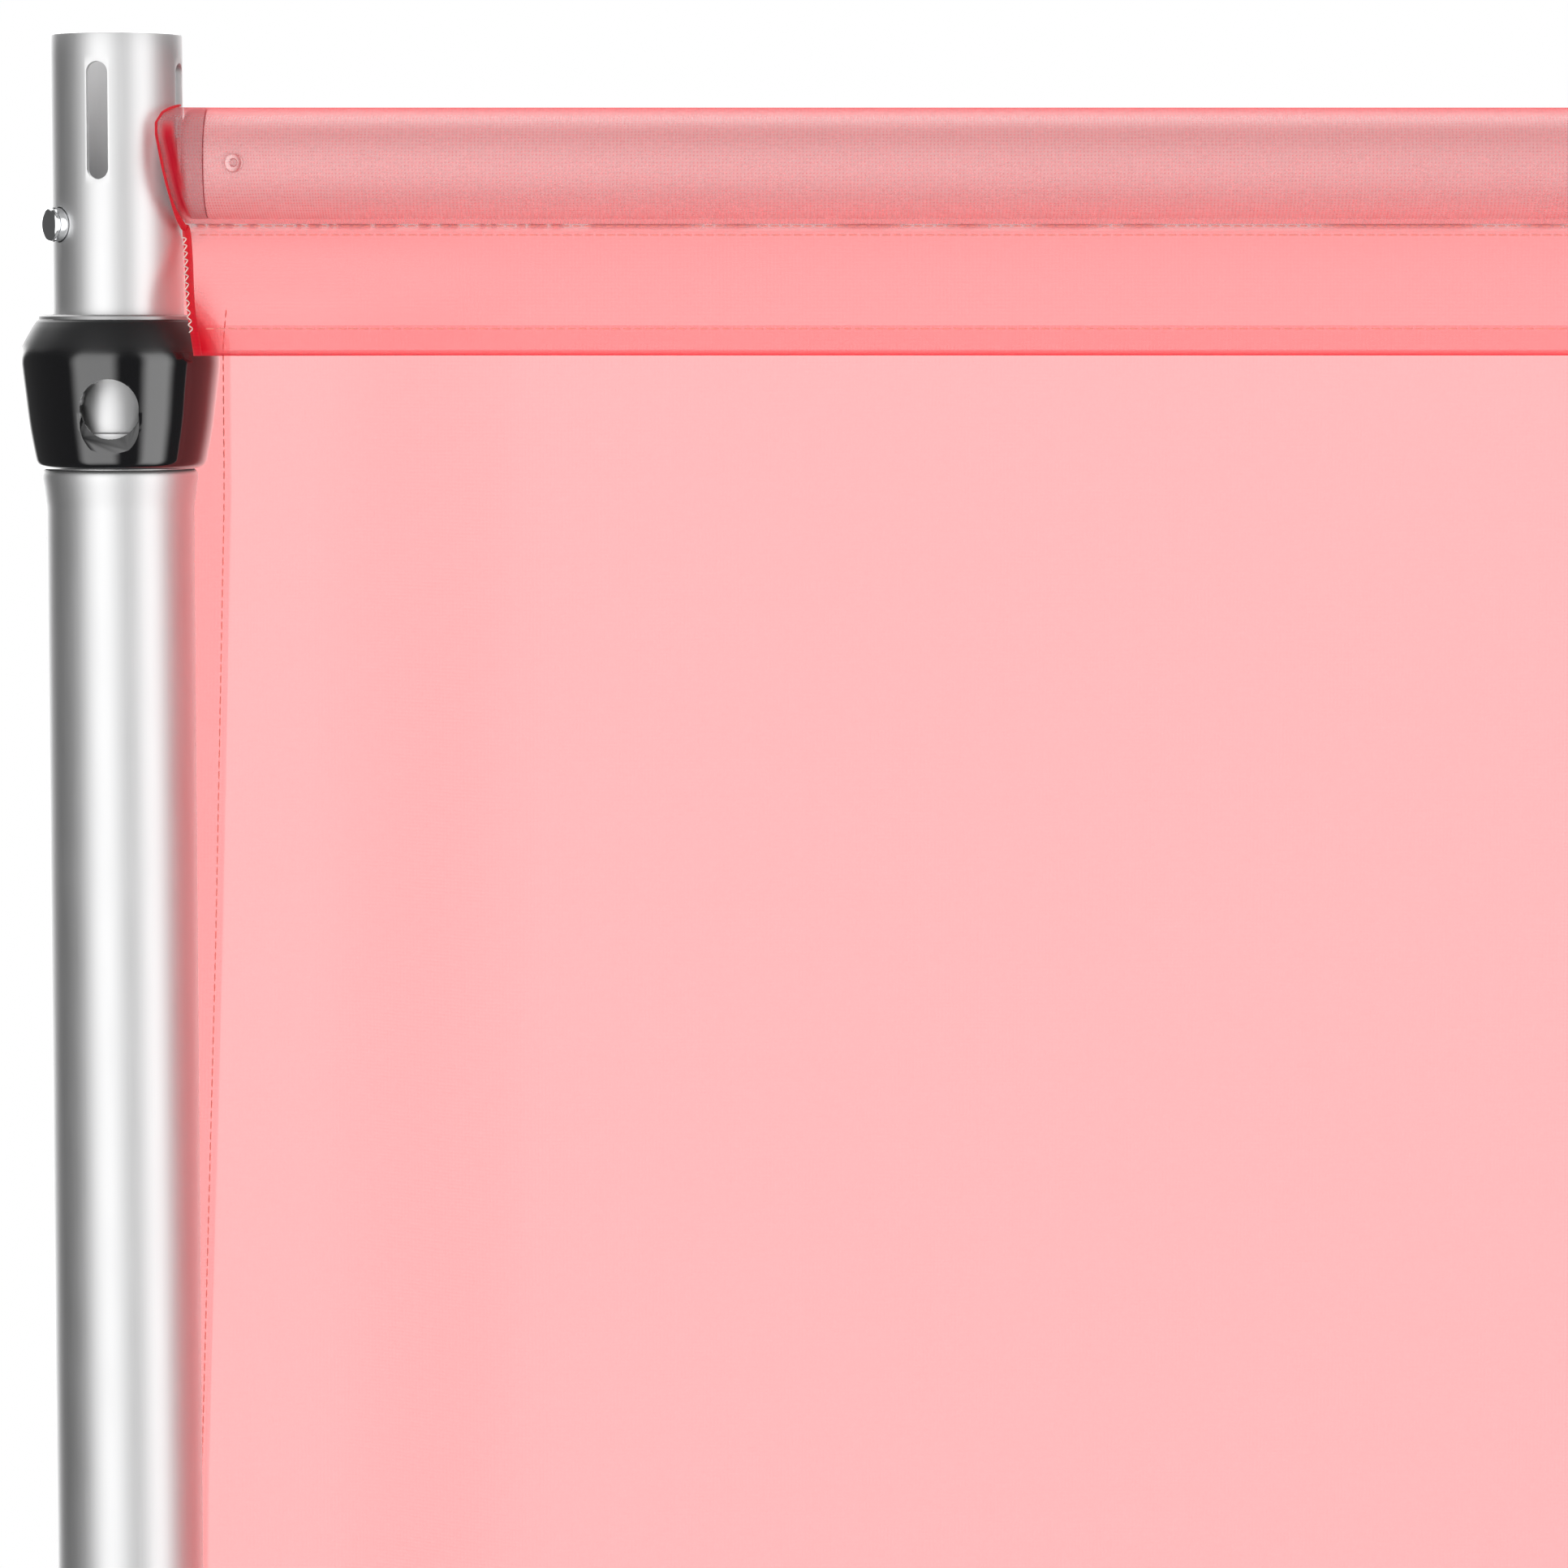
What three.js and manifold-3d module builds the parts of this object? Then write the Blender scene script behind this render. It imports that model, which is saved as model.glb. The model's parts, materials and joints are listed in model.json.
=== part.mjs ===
// A pipe-and-drape backdrop frame: two telescopic uprights on steel base plates, a telescopic
// crossbar hooked into their slots, and a flat sheer drape on the crossbar.
// Millimetres, +Z up. The origin is on the floor, midway between the uprights; the crossbar
// runs along X and the drape faces -Y.

import * as THREE from 'three';
import { mergeVertices } from 'three/addons/utils/BufferGeometryUtils.js';
import Module from 'manifold-3d';

const wasm = await Module();
wasm.setup();

// ---- Driving dimensions ----

const RUNNING = 0.3;            // gap between pieces that touch or slide
const ROUND_STEPS = 28;         // facets round a tube
const SMALL_STEPS = 12;         // facets round a small piece
const ARC_STEPS = 4;            // facets in a quarter of a slot's or a plate's round end

const SPAN = 1524;              // between the axes of the two uprights
const HEIGHT = 1524;            // floor to the top of a lowered upright

const PLATE_X = 356, PLATE_Y = 406, PLATE_THICK = 6.35, PLATE_CORNER = 24;
const HAND_SLOT_LENGTH = 110, HAND_SLOT_WIDTH = 32, HAND_SLOT_INSET = 46;
const FOOT_RADIUS = 12, FOOT_HEIGHT = 5, FOOT_STEM_RADIUS = 3, FOOT_INSET = 26;
const PIN_HEIGHT = 150, PIN_WALL = 3.2, PIN_FLOOR = 12, PIN_CHAMFER = 1;
const BOLT_RADIUS = 5, BOLT_HEAD_RADIUS = 10, BOLT_HEAD_HEIGHT = 5.2, BOLT_LENGTH = 22;
const BOLT_RIM = 0.6, BOLT_SUNK = 0.4, BOLT_KEY_RADIUS = 3.4, BOLT_KEY_DEPTH = 3;

const UPPER_RADIUS = 19.05, UPPER_WALL = 2.0;
const TUBE_PLAY = 0.45, LOWER_WALL = 2.0;           // the lower tube runs outside the upper one
const BEAD_RISE = 1.15, BEAD_HEIGHT = 12;           // swaged shoulder that the collar rests on
const UPPER_SHOWN = 81;         // upper tube above the collar when lowered
const SLOT_WIDTH = 6.35, SLOT_LENGTH = 33.8, SLOT_BELOW_TOP = 8.3, SLOT_COUNT = 4;
const TWIST = -11.1;            // degrees the slots stand turned from the crossbar's square
const HEAD_JOIN = 13;           // the slotted head is a length of its own, from here below the collar's top
const TUBE_FOOT_PLAY = 0.35, TUBE_FOOT_FLANGE = 4, TUBE_FOOT_SPIGOT = 22, TUBE_FOOT_BORE = 12;
const EDGE_BREAK = 0.8;         // chamfer on the plastic fittings

const COLLAR_HEIGHT = 43, COLLAR_ENTRY = 10.6;      // the lower tube ends this far up inside it
const COLLAR_RING_HEIGHT = 1.5, COLLAR_RING_RISE = 1.6, THROAT_PLAY = 0.4, LEDGE_ABOVE = 5, LEDGE_SLOPE = 3;
const WINDOW_WIDTH = 17.1, WINDOW_HEIGHT = 22.6, WINDOW_CENTRE = 14.8;
const GRIP_BOTTOM = 28, GRIP_HEIGHT = 10.5, GRIP_TAPER = 1.2, GRIP_THICK = 3.1, GRIP_SLIT = 3;
const COLLAR_OUTLINE = [        // beyond the lower tube's radius, and as a share of the collar's height
    [0.9, 0], [2.7, 0.021], [4.2, 0.098], [5.6, 0.274], [6.8, 0.495],
    [7.7, 0.66], [7.8, 0.733], [6.8, 0.809], [3.9, 0.935], [2.1, 0.993], [1.7, 1],
];

const BUTTON_RADIUS = 4.9, BUTTON_FACE_RADIUS = 4.25, BUTTON_PROUD = 4, BUTTON_DOME = 0.35;
const BUTTON_BELOW_TOP = 55, BUTTON_TURN = -45;     // degrees from the front slot
const BUTTON_FLANGE_RADIUS = 6, BUTTON_FLANGE_THICK = 1.2;
const BUTTON_GROOVE = 0.5, GROOVE_BELOW_FACE = 1.6, BUTTON_BEVEL = 0.7;
const SPRING_THICK = 0.8, SPRING_WIDTH = 9, SPRING_DROP = 55, SPRING_BEND = 2.4, SPRING_TOP = 7;

const BAR_BELOW_TOP = 37.4;     // crossbar axis under the top of the uprights
const BAR_RADIUS = 15.875, BAR_WALL = 1.6;
const MOUTH_SLEEVE = 22, MOUTH_FLANGE = 3, MOUTH_WALL = 1;
const SLIDE_PLAY = 0.275, SLIDE_WALL = 1.5;         // the thinner tube that slides in the wide one's mouth
const BAR_LENGTH = 855, BAR_OVERLAP = 175;
const SLIDE_PLUG_FLANGE = 8, SLIDE_PLUG_SPIGOT = 20;

const SHOULDER = 6.6, SHOULDER_GAP = 1.2, SHOULDER_ROUND = 2.4, PLUG_SPIGOT = 32;
const BLADE_THICK = 4.5, BLADE_HEIGHT = 15, BLADE_HOOK_DROP = 10, BLADE_TIP_WIDTH = 5.5;
const NOTCH_RISE = 4.6;         // how far the notch cuts up into the blade
const RIVET_INSET = 8.8, RIVET_RADIUS = 2, RIVET_HEAD_RADIUS = 2.75, RIVET_HEAD = 0.5;
const RIVET_BORE = 1.1, RIVET_BORE_DEPTH = 4;

const CLOTH = 0.8;              // thickness of the stand-in for the cloth
const POCKET_SLACK = 1.725;     // the rod pocket's radius beyond the crossbar's
const HEADER_DEPTH = 72.4;      // top of the pocket to the hem of the folded-over flap
const DRAPE_CLEAR = 25;         // floor to the drape's bottom hem
const PANEL_CLEAR = 2.7;        // the panel's edges pass this far behind the collar
const FLAP_CLEAR = 1.95;        // the flap's ends pass this far in front of the upper tube
const EDGE_REACH = 4;           // the panel's edge lies this far inside the upright's axis
const FLAP_INSET = 4.25;        // the flap's ends start this far from the upper tube
const TURN_START = 52, TURN_END = 125, TURN_STEPS = 6;      // where the cloth swings out to pass an upright

// ---- Places worked out from them ----

const plateBottom = FOOT_HEIGHT;
const plateTop = plateBottom + PLATE_THICK;
const pinTop = plateTop + RUNNING + PIN_HEIGHT;
const collarTop = HEIGHT - UPPER_SHOWN;
const collarBottom = collarTop - COLLAR_RING_HEIGHT - COLLAR_HEIGHT;
const lowerInner = UPPER_RADIUS + TUBE_PLAY;
const lowerRadius = lowerInner + LOWER_WALL;
const upperInner = UPPER_RADIUS - UPPER_WALL;
const headBottom = collarTop - HEAD_JOIN;
const collarRadius = lowerRadius + Math.max(...COLLAR_OUTLINE.map(([beyond]) => beyond));
const upperBottom = pinTop + RUNNING + TUBE_FOOT_FLANGE + RUNNING;
const barAxis = HEIGHT - BAR_BELOW_TOP;
const barOffset = UPPER_RADIUS * Math.sin(THREE.MathUtils.degToRad(TWIST));
const barEnd = UPPER_RADIUS + SHOULDER_GAP + SHOULDER;          // from an upright's axis
const slideStart = barEnd + BAR_LENGTH - BAR_OVERLAP;
const mouthBore = BAR_RADIUS - BAR_WALL - RUNNING - MOUTH_WALL;
const slideRadius = mouthBore - SLIDE_PLAY;

// ---- Solids ----

const metal = (color, roughness) => new THREE.MeshStandardMaterial({ color, roughness, metalness: 1 });
const plastic = (color, roughness) => new THREE.MeshStandardMaterial({ color, roughness, metalness: 0 });
const SATIN_ALUMINIUM = metal(0xd4d5d6, 0.4);
const BLACK_GLOSS = plastic(0x0b0b0c, 0.12);
const GREY_STEEL = metal(0x9a9c9e, 0.35);
const CHROME = metal(0xe4e6e8, 0.1);
const GREY_NYLON = plastic(0x77787a, 0.5);
const BLACK_STEEL = metal(0x1c1d1f, 0.5);
const RUBBER = plastic(0x151515, 0.9);
const CORAL_VOILE = plastic(0xf6a49b, 0.85);

/** A closed mesh as a manifold solid, with its faces turned to point outwards. */
function solid(geometry) {
    const bare = geometry.index ? geometry.clone() : geometry;
    bare.deleteAttribute('normal');
    bare.deleteAttribute('uv');
    const merged = mergeVertices(bare, 1e-4);
    const vertProperties = new Float32Array(merged.attributes.position.array);
    const triVerts = [];
    for (let i = 0; i < merged.index.count; i += 3) {
        const [a, b, c] = [0, 1, 2].map((k) => merged.index.getX(i + k));
        if (a !== b && b !== c && a !== c) triVerts.push(a, b, c);
    }
    if (signedVolume(vertProperties, triVerts) < 0) triVerts.reverse();
    return new wasm.Manifold(new wasm.Mesh({ numProp: 3, vertProperties, triVerts: new Uint32Array(triVerts) }));
}

function signedVolume(points, triangles) {
    const corner = (i) => new THREE.Vector3().fromArray(points, 3 * triangles[i]);
    let sum = 0;
    for (let i = 0; i < triangles.length; i += 3) {
        sum += corner(i).dot(corner(i + 1).cross(corner(i + 2)));
    }
    return sum / 6;
}

/** A manifold solid as a three.js geometry, mirrored in X where asked. */
function geometryOf(body, mirrored = false) {
    const mesh = body.getMesh();
    const geometry = new THREE.BufferGeometry();
    const positions = new Float32Array(mesh.vertProperties);
    const triangles = Array.from(mesh.triVerts);
    if (mirrored) {
        for (let i = 0; i < positions.length; i += 3) positions[i] = -positions[i];
        triangles.reverse();
    }
    geometry.setAttribute('position', new THREE.BufferAttribute(positions, 3));
    geometry.setIndex(triangles);
    return geometry;
}

/** A solid of revolution about Z from [radius, height] points. A ring's profile closes on itself. */
function turned(profile, steps = ROUND_STEPS) {
    const onAxis = profile[0][0] === 0 && profile.at(-1)[0] === 0;
    const points = onAxis ? profile : [...profile, profile[0]];
    const geometry = new THREE.LatheGeometry(points.map(([r, z]) => new THREE.Vector2(r, z)), steps);
    return solid(geometry.rotateX(Math.PI / 2));
}

const pipe = (inner, outer, bottom, top, steps) =>
    turned([[inner, bottom], [outer, bottom], [outer, top], [inner, top]], steps);

/** Lays a solid turned about Z along another axis, from a point on it. */
function along(body, axis, origin) {
    const turn = new THREE.Quaternion().setFromUnitVectors(new THREE.Vector3(0, 0, 1), axis);
    const matrix = new THREE.Matrix4().compose(origin, turn, new THREE.Vector3(1, 1, 1));
    return solid(geometryOf(body).applyMatrix4(matrix));
}

/** The direction that stands at an angle from the front, -Y, towards +X. */
function facing(degrees) {
    const angle = THREE.MathUtils.degToRad(degrees);
    return new THREE.Vector3(Math.sin(angle), -Math.cos(angle), 0);
}

/** Extrudes a shape drawn in (sideways, up) outwards along a facing, from one radius to another. */
function outwards(shape, degrees, height, from, to) {
    const out = facing(degrees);
    const up = new THREE.Vector3(0, 0, 1);
    const sideways = new THREE.Vector3().crossVectors(up, out);
    const geometry = new THREE.ExtrudeGeometry(shape, { depth: to - from, bevelEnabled: false, curveSegments: ARC_STEPS });
    const matrix = new THREE.Matrix4().makeBasis(sideways, up, out);
    matrix.setPosition(out.x * from, out.y * from, height);
    return solid(geometry.applyMatrix4(matrix));
}

/** A round-ended slot or, with equal sides, a circle. */
function stadium(width, height) {
    const r = Math.min(width, height) / 2;
    const [dx, dy] = [width / 2 - r, height / 2 - r];
    const shape = new THREE.Shape();
    shape.absarc(dx, dy, r, 0, Math.PI / 2);
    shape.absarc(-dx, dy, r, Math.PI / 2, Math.PI);
    shape.absarc(-dx, -dy, r, Math.PI, 1.5 * Math.PI);
    shape.absarc(dx, -dy, r, 1.5 * Math.PI, 2 * Math.PI);
    return shape;
}

function roundedRectangle(width, height, corner) {
    const [dx, dy] = [width / 2 - corner, height / 2 - corner];
    const shape = new THREE.Shape();
    shape.absarc(dx, dy, corner, 0, Math.PI / 2);
    shape.absarc(-dx, dy, corner, Math.PI / 2, Math.PI);
    shape.absarc(-dx, -dy, corner, Math.PI, 1.5 * Math.PI);
    shape.absarc(dx, -dy, corner, 1.5 * Math.PI, 2 * Math.PI);
    return shape;
}

/** Extrudes an outline drawn in (x, z) through a thickness centred on a plane of constant y. */
function blade(shape, y, thickness) {
    const geometry = new THREE.ExtrudeGeometry(shape, { depth: thickness, bevelEnabled: false, curveSegments: ARC_STEPS });
    return solid(geometry.rotateX(Math.PI / 2).translate(0, y + thickness / 2, 0));
}

// ---- The pieces of one upright, about its own axis ----

const footSpots = [[1, 1], [-1, 1], [1, -1], [-1, -1]].map(([i, j]) =>
    [i * (PLATE_X / 2 - FOOT_INSET), j * (PLATE_Y / 2 - FOOT_INSET)]);

function basePlate() {
    const outline = roundedRectangle(PLATE_X, PLATE_Y, PLATE_CORNER);
    const extrude = (shape, depth) => solid(
        new THREE.ExtrudeGeometry(shape, { depth, bevelEnabled: false, curveSegments: ARC_STEPS })
            .translate(0, 0, plateBottom));
    let plate = extrude(outline, PLATE_THICK);
    const handSlot = solid(new THREE.ExtrudeGeometry(stadium(HAND_SLOT_WIDTH, HAND_SLOT_LENGTH),
        { depth: 3 * PLATE_THICK, bevelEnabled: false, curveSegments: ARC_STEPS })
        .translate(-PLATE_X / 2 + HAND_SLOT_INSET, 0, plateBottom - PLATE_THICK));
    plate = plate.subtract(handSlot);
    for (const [x, y] of footSpots) {
        const hole = turned([[0, 0], [FOOT_STEM_RADIUS + RUNNING, 0],
            [FOOT_STEM_RADIUS + RUNNING, 3 * PLATE_THICK], [0, 3 * PLATE_THICK]], SMALL_STEPS);
        plate = plate.subtract(hole.translate([x, y, plateBottom - PLATE_THICK]));
    }
    return plate.subtract(boltOutline(RUNNING, 2 * BOLT_LENGTH));
}

/** The countersunk bolt's outline about Z, swollen by a clearance to make its hole. */
function boltOutline(clearance, length) {
    const face = clearance > 0 ? plateBottom - 1 : plateBottom + BOLT_SUNK;
    const shank = BOLT_RADIUS + clearance;
    const head = BOLT_HEAD_RADIUS + clearance;
    const headTop = plateBottom + BOLT_HEAD_HEIGHT + clearance;
    return turned([[0, face], [head, face], [head, plateBottom + BOLT_RIM], [shank, headTop],
        [shank, plateBottom + length], [0, plateBottom + length]], SMALL_STEPS);
}

function baseBolt() {
    const key = turned([[0, -1], [BOLT_KEY_RADIUS, -1], [BOLT_KEY_RADIUS, BOLT_KEY_DEPTH], [0, BOLT_KEY_DEPTH]], 6);
    return boltOutline(0, BOLT_LENGTH).subtract(key.translate([0, 0, plateBottom]));
}

function foot([x, y]) {
    const stemTop = plateBottom + PLATE_THICK - RUNNING;
    const top = plateBottom - RUNNING;
    return turned([[0, 0], [FOOT_RADIUS - 1, 0], [FOOT_RADIUS, 1.2], [FOOT_RADIUS - 0.5, top],
        [FOOT_STEM_RADIUS, top], [FOOT_STEM_RADIUS, stemTop], [0, stemTop]], SMALL_STEPS).translate([x, y, 0]);
}

function basePin() {
    const outer = lowerInner - RUNNING - 0.1;
    const bottom = plateTop + RUNNING;
    const threaded = BOLT_RADIUS + RUNNING;
    return turned([[threaded, bottom], [outer, bottom], [outer, pinTop - PIN_CHAMFER],
        [outer - PIN_CHAMFER, pinTop], [outer - PIN_WALL, pinTop],
        [outer - PIN_WALL, bottom + PIN_FLOOR], [threaded, bottom + PIN_FLOOR]]);
}

/** The lower tube. Its swaged shoulder is a curve from the collar down, as shares of its rise and height. */
function lowerTube() {
    const bottom = plateTop + RUNNING;
    const top = collarBottom + COLLAR_ENTRY;
    const bead = collarBottom - RUNNING;
    const swage = [[0, 1], [0.3, 0.75], [0.74, 0.4], [1, 0.175], [0.78, 0.083], [0.26, 0.017], [0, 0]]
        .map(([rise, drop]) => [lowerRadius + rise * BEAD_RISE, bead - drop * BEAD_HEIGHT]);
    return turned([[lowerInner, bottom], [lowerRadius, bottom], ...swage, [lowerRadius, top], [lowerInner, top]]);
}

const upperTube = () => pipe(upperInner, UPPER_RADIUS, upperBottom, headBottom - RUNNING);

/** The slotted head of the upper tube, from inside the collar up. */
function tubeHead() {
    let tube = pipe(upperInner, UPPER_RADIUS, headBottom, HEIGHT);
    const slotCentre = HEIGHT - SLOT_BELOW_TOP - SLOT_LENGTH / 2;
    const [inside, outside] = [upperInner / 2, UPPER_RADIUS + 5];
    for (let i = 0; i < SLOT_COUNT; i++) {
        const degrees = TWIST + i * 360 / SLOT_COUNT;
        tube = tube.subtract(outwards(stadium(SLOT_WIDTH, SLOT_LENGTH), degrees, slotCentre, inside, outside));
    }
    const hole = 2 * (BUTTON_RADIUS + RUNNING);
    return tube.subtract(outwards(stadium(hole, hole), TWIST + BUTTON_TURN,
        HEIGHT - BUTTON_BELOW_TOP, inside, outside));
}

function tubeFoot() {
    const bottom = pinTop + RUNNING;
    const shoulder = bottom + TUBE_FOOT_FLANGE;
    const flange = lowerInner - TUBE_FOOT_PLAY;
    const spigot = upperInner - RUNNING;
    return turned([[TUBE_FOOT_BORE, bottom], [flange - EDGE_BREAK, bottom], [flange, bottom + EDGE_BREAK],
        [flange, shoulder], [spigot, shoulder], [spigot, shoulder + TUBE_FOOT_SPIGOT],
        [TUBE_FOOT_BORE, shoulder + TUBE_FOOT_SPIGOT]]);
}

function collarBody() {
    const outside = COLLAR_OUTLINE.map(([beyond, share]) => [lowerRadius + beyond, share * COLLAR_HEIGHT]);
    const entry = lowerRadius + RUNNING;
    const throat = UPPER_RADIUS + THROAT_PLAY;
    const ledge = COLLAR_ENTRY + LEDGE_ABOVE;
    const pocket = UPPER_RADIUS + RUNNING + GRIP_THICK;
    const gripTop = GRIP_BOTTOM + GRIP_HEIGHT + RUNNING;
    const inside = [[throat, COLLAR_HEIGHT], [throat, gripTop + RUNNING],
        [pocket + RUNNING - GRIP_TAPER, gripTop + RUNNING], [pocket + RUNNING, GRIP_BOTTOM - RUNNING],
        [throat, GRIP_BOTTOM - RUNNING], [throat, ledge + LEDGE_SLOPE], [entry, ledge], [entry, 0]];
    const body = turned([...outside, ...inside]);
    const window = outwards(stadium(WINDOW_WIDTH, WINDOW_HEIGHT), 0, WINDOW_CENTRE,
        UPPER_RADIUS / 2, 2 * UPPER_RADIUS);
    return body.subtract(window).translate([0, 0, collarBottom]);
}

function collarRing() {
    const bottom = collarBottom + COLLAR_HEIGHT + RUNNING / 3;
    return pipe(UPPER_RADIUS + RUNNING, lowerRadius + COLLAR_RING_RISE, bottom, collarTop);
}

function gripRing() {
    const bottom = collarBottom + GRIP_BOTTOM;
    const top = bottom + GRIP_HEIGHT;
    const inner = UPPER_RADIUS + RUNNING;
    const ring = turned([[inner, bottom], [inner + GRIP_THICK, bottom],
        [inner + GRIP_THICK - GRIP_TAPER, top], [inner, top]]);
    const slit = new THREE.Shape([[-1, -1], [1, -1], [1, 1], [-1, 1]].map(([x, z]) =>
        new THREE.Vector2(x * GRIP_SLIT / 2, z * GRIP_HEIGHT)));
    return ring.subtract(outwards(slit, 180, (bottom + top) / 2, UPPER_RADIUS / 2, 2 * UPPER_RADIUS));
}

function snapButton() {
    const face = UPPER_RADIUS + BUTTON_PROUD;
    const flangeTop = Math.sqrt(upperInner ** 2 - BUTTON_FLANGE_RADIUS ** 2) - RUNNING;
    const groove = face - GROOVE_BELOW_FACE;
    const waist = BUTTON_RADIUS - BUTTON_GROOVE;
    const profile = [[0, flangeTop - BUTTON_FLANGE_THICK], [BUTTON_FLANGE_RADIUS, flangeTop - BUTTON_FLANGE_THICK],
        [BUTTON_FLANGE_RADIUS, flangeTop], [BUTTON_RADIUS, flangeTop], [BUTTON_RADIUS, groove - 2 * BUTTON_DOME],
        [waist, groove - BUTTON_DOME], [waist, groove],
        [BUTTON_RADIUS, groove + BUTTON_DOME], [BUTTON_RADIUS, face - BUTTON_BEVEL],
        [BUTTON_FACE_RADIUS, face - BUTTON_DOME], [0, face]];
    const place = new THREE.Vector3(0, 0, HEIGHT - BUTTON_BELOW_TOP);
    return along(turned(profile, SMALL_STEPS), facing(TWIST + BUTTON_TURN), place);
}

/** A bent strip of spring steel: its centre line in (outwards, up), a thickness and a width. */
function bentStrip(line, degrees, height) {
    const points = line.map(([x, y]) => new THREE.Vector2(x, y));
    const edge = (sign) => points.map((point, i) => {
        const before = points[Math.max(i - 1, 0)];
        const after = points[Math.min(i + 1, points.length - 1)];
        const run = after.clone().sub(before).normalize();
        return point.clone().addScaledVector(new THREE.Vector2(-run.y, run.x), sign * SPRING_THICK / 2);
    });
    const shape = new THREE.Shape([...edge(1), ...edge(-1).reverse()]);
    const geometry = new THREE.ExtrudeGeometry(shape, { depth: SPRING_WIDTH, bevelEnabled: false });
    const out = facing(degrees);
    const up = new THREE.Vector3(0, 0, 1);
    const side = new THREE.Vector3().crossVectors(out, up);
    const matrix = new THREE.Matrix4().makeBasis(out, up, side);
    matrix.setPosition(-side.x * SPRING_WIDTH / 2, -side.y * SPRING_WIDTH / 2, height);
    return solid(geometry.applyMatrix4(matrix));
}

function buttonSpring() {
    const flangeBottom = Math.sqrt(upperInner ** 2 - BUTTON_FLANGE_RADIUS ** 2) - RUNNING - BUTTON_FLANGE_THICK;
    const near = flangeBottom - RUNNING - SPRING_THICK / 2;
    const far = -Math.sqrt(upperInner ** 2 - (SPRING_WIDTH / 2) ** 2) + THROAT_PLAY + SPRING_THICK / 2;
    return bentStrip([[near, SPRING_TOP], [near, -SPRING_TOP], [SPRING_BEND, SPRING_BEND - SPRING_DROP],
        [0, -SPRING_DROP], [-SPRING_BEND, SPRING_BEND - SPRING_DROP], [far, -SPRING_TOP], [far, 0]],
    TWIST + BUTTON_TURN, HEIGHT - BUTTON_BELOW_TOP);
}

/** The flat hook: a blade through the end plug, notched to sit over the tube's wall in a slot. */
function hook() {
    const [top, bottom] = [barAxis + BLADE_HEIGHT / 2, barAxis - BLADE_HEIGHT / 2];
    const halfway = Math.abs(barOffset) + BLADE_THICK / 2;
    const inner = Math.sqrt(upperInner ** 2 - halfway ** 2) - THROAT_PLAY;
    const outer = UPPER_RADIUS + RUNNING;
    const tip = bottom - BLADE_HOOK_DROP;
    const back = inner - BLADE_TIP_WIDTH;
    const end = barEnd + PLUG_SPIGOT - RUNNING;
    const cut = BLADE_TIP_WIDTH / 4;
    const outline = [[end, top], [back + 2 * cut, top], [back, top - 2 * cut], [back, tip + 2 * cut], [back + cut, tip],
        [inner - cut, tip], [inner, tip + cut], [inner, bottom + NOTCH_RISE], [outer, bottom + NOTCH_RISE],
        [outer, bottom + cut / 2], [outer + cut / 2, bottom], [end, bottom]];
    const shape = new THREE.Shape(outline.map(([x, z]) => new THREE.Vector2(x, z)));
    return blade(shape, barOffset, BLADE_THICK).subtract(rivetHole());
}

function rivetHole() {
    const reach = 2 * BAR_RADIUS;
    const radius = RIVET_RADIUS + RUNNING;
    const hole = turned([[0, -reach], [radius, -reach], [radius, reach], [0, reach]], SMALL_STEPS);
    return along(hole, new THREE.Vector3(0, 1, 0), rivetPlace());
}

const rivetPlace = () => new THREE.Vector3(barEnd + RIVET_INSET, barOffset, barAxis);

function hookRivet(tubeRadius) {
    const seat = tubeRadius + RUNNING;
    const head = seat + RIVET_HEAD;
    const crown = RIVET_HEAD_RADIUS - RIVET_HEAD / 2;
    const profile = [[0, -head], [crown, -head], [RIVET_HEAD_RADIUS, -seat], [RIVET_RADIUS, -seat],
        [RIVET_RADIUS, seat], [RIVET_HEAD_RADIUS, seat], [crown, head],
        [RIVET_BORE, head], [RIVET_BORE, head - RIVET_BORE_DEPTH], [0, head - RIVET_BORE_DEPTH]];
    return along(turned(profile, SMALL_STEPS), new THREE.Vector3(0, -1, 0), rivetPlace());
}

/** The end plug: a shoulder as wide as the tube, a spigot inside it and a slot for the blade. */
function hookPlug(tubeRadius, tubeWall) {
    const spigot = tubeRadius - tubeWall - RUNNING;
    const start = barEnd - SHOULDER;
    const length = SHOULDER + PLUG_SPIGOT;
    const corner = (1 - Math.SQRT1_2) * SHOULDER_ROUND;
    const plug = turned([[0, 0], [tubeRadius - SHOULDER_ROUND, 0], [tubeRadius - corner, corner],
        [tubeRadius, SHOULDER_ROUND], [tubeRadius, SHOULDER - RUNNING], [spigot, SHOULDER - RUNNING],
        [spigot, length], [0, length]]);
    const slot = new THREE.BoxGeometry(3 * length, BLADE_THICK + 2 * RUNNING, BLADE_HEIGHT + 2 * RUNNING)
        .translate(start, barOffset, barAxis);
    return along(plug, new THREE.Vector3(1, 0, 0), new THREE.Vector3(start, barOffset, barAxis))
        .subtract(solid(slot)).subtract(rivetHole());
}

// ---- The crossbar's tubes, from the left upright's axis ----

const onBar = (body) => along(body, new THREE.Vector3(1, 0, 0), new THREE.Vector3(0, barOffset, barAxis));

const crossbarTube = () =>
    onBar(pipe(BAR_RADIUS - BAR_WALL, BAR_RADIUS, barEnd, barEnd + BAR_LENGTH)).subtract(rivetHole());

const slideTube = () =>
    onBar(pipe(slideRadius - SLIDE_WALL, slideRadius, barEnd, SPAN - slideStart)).subtract(rivetHole());

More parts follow.
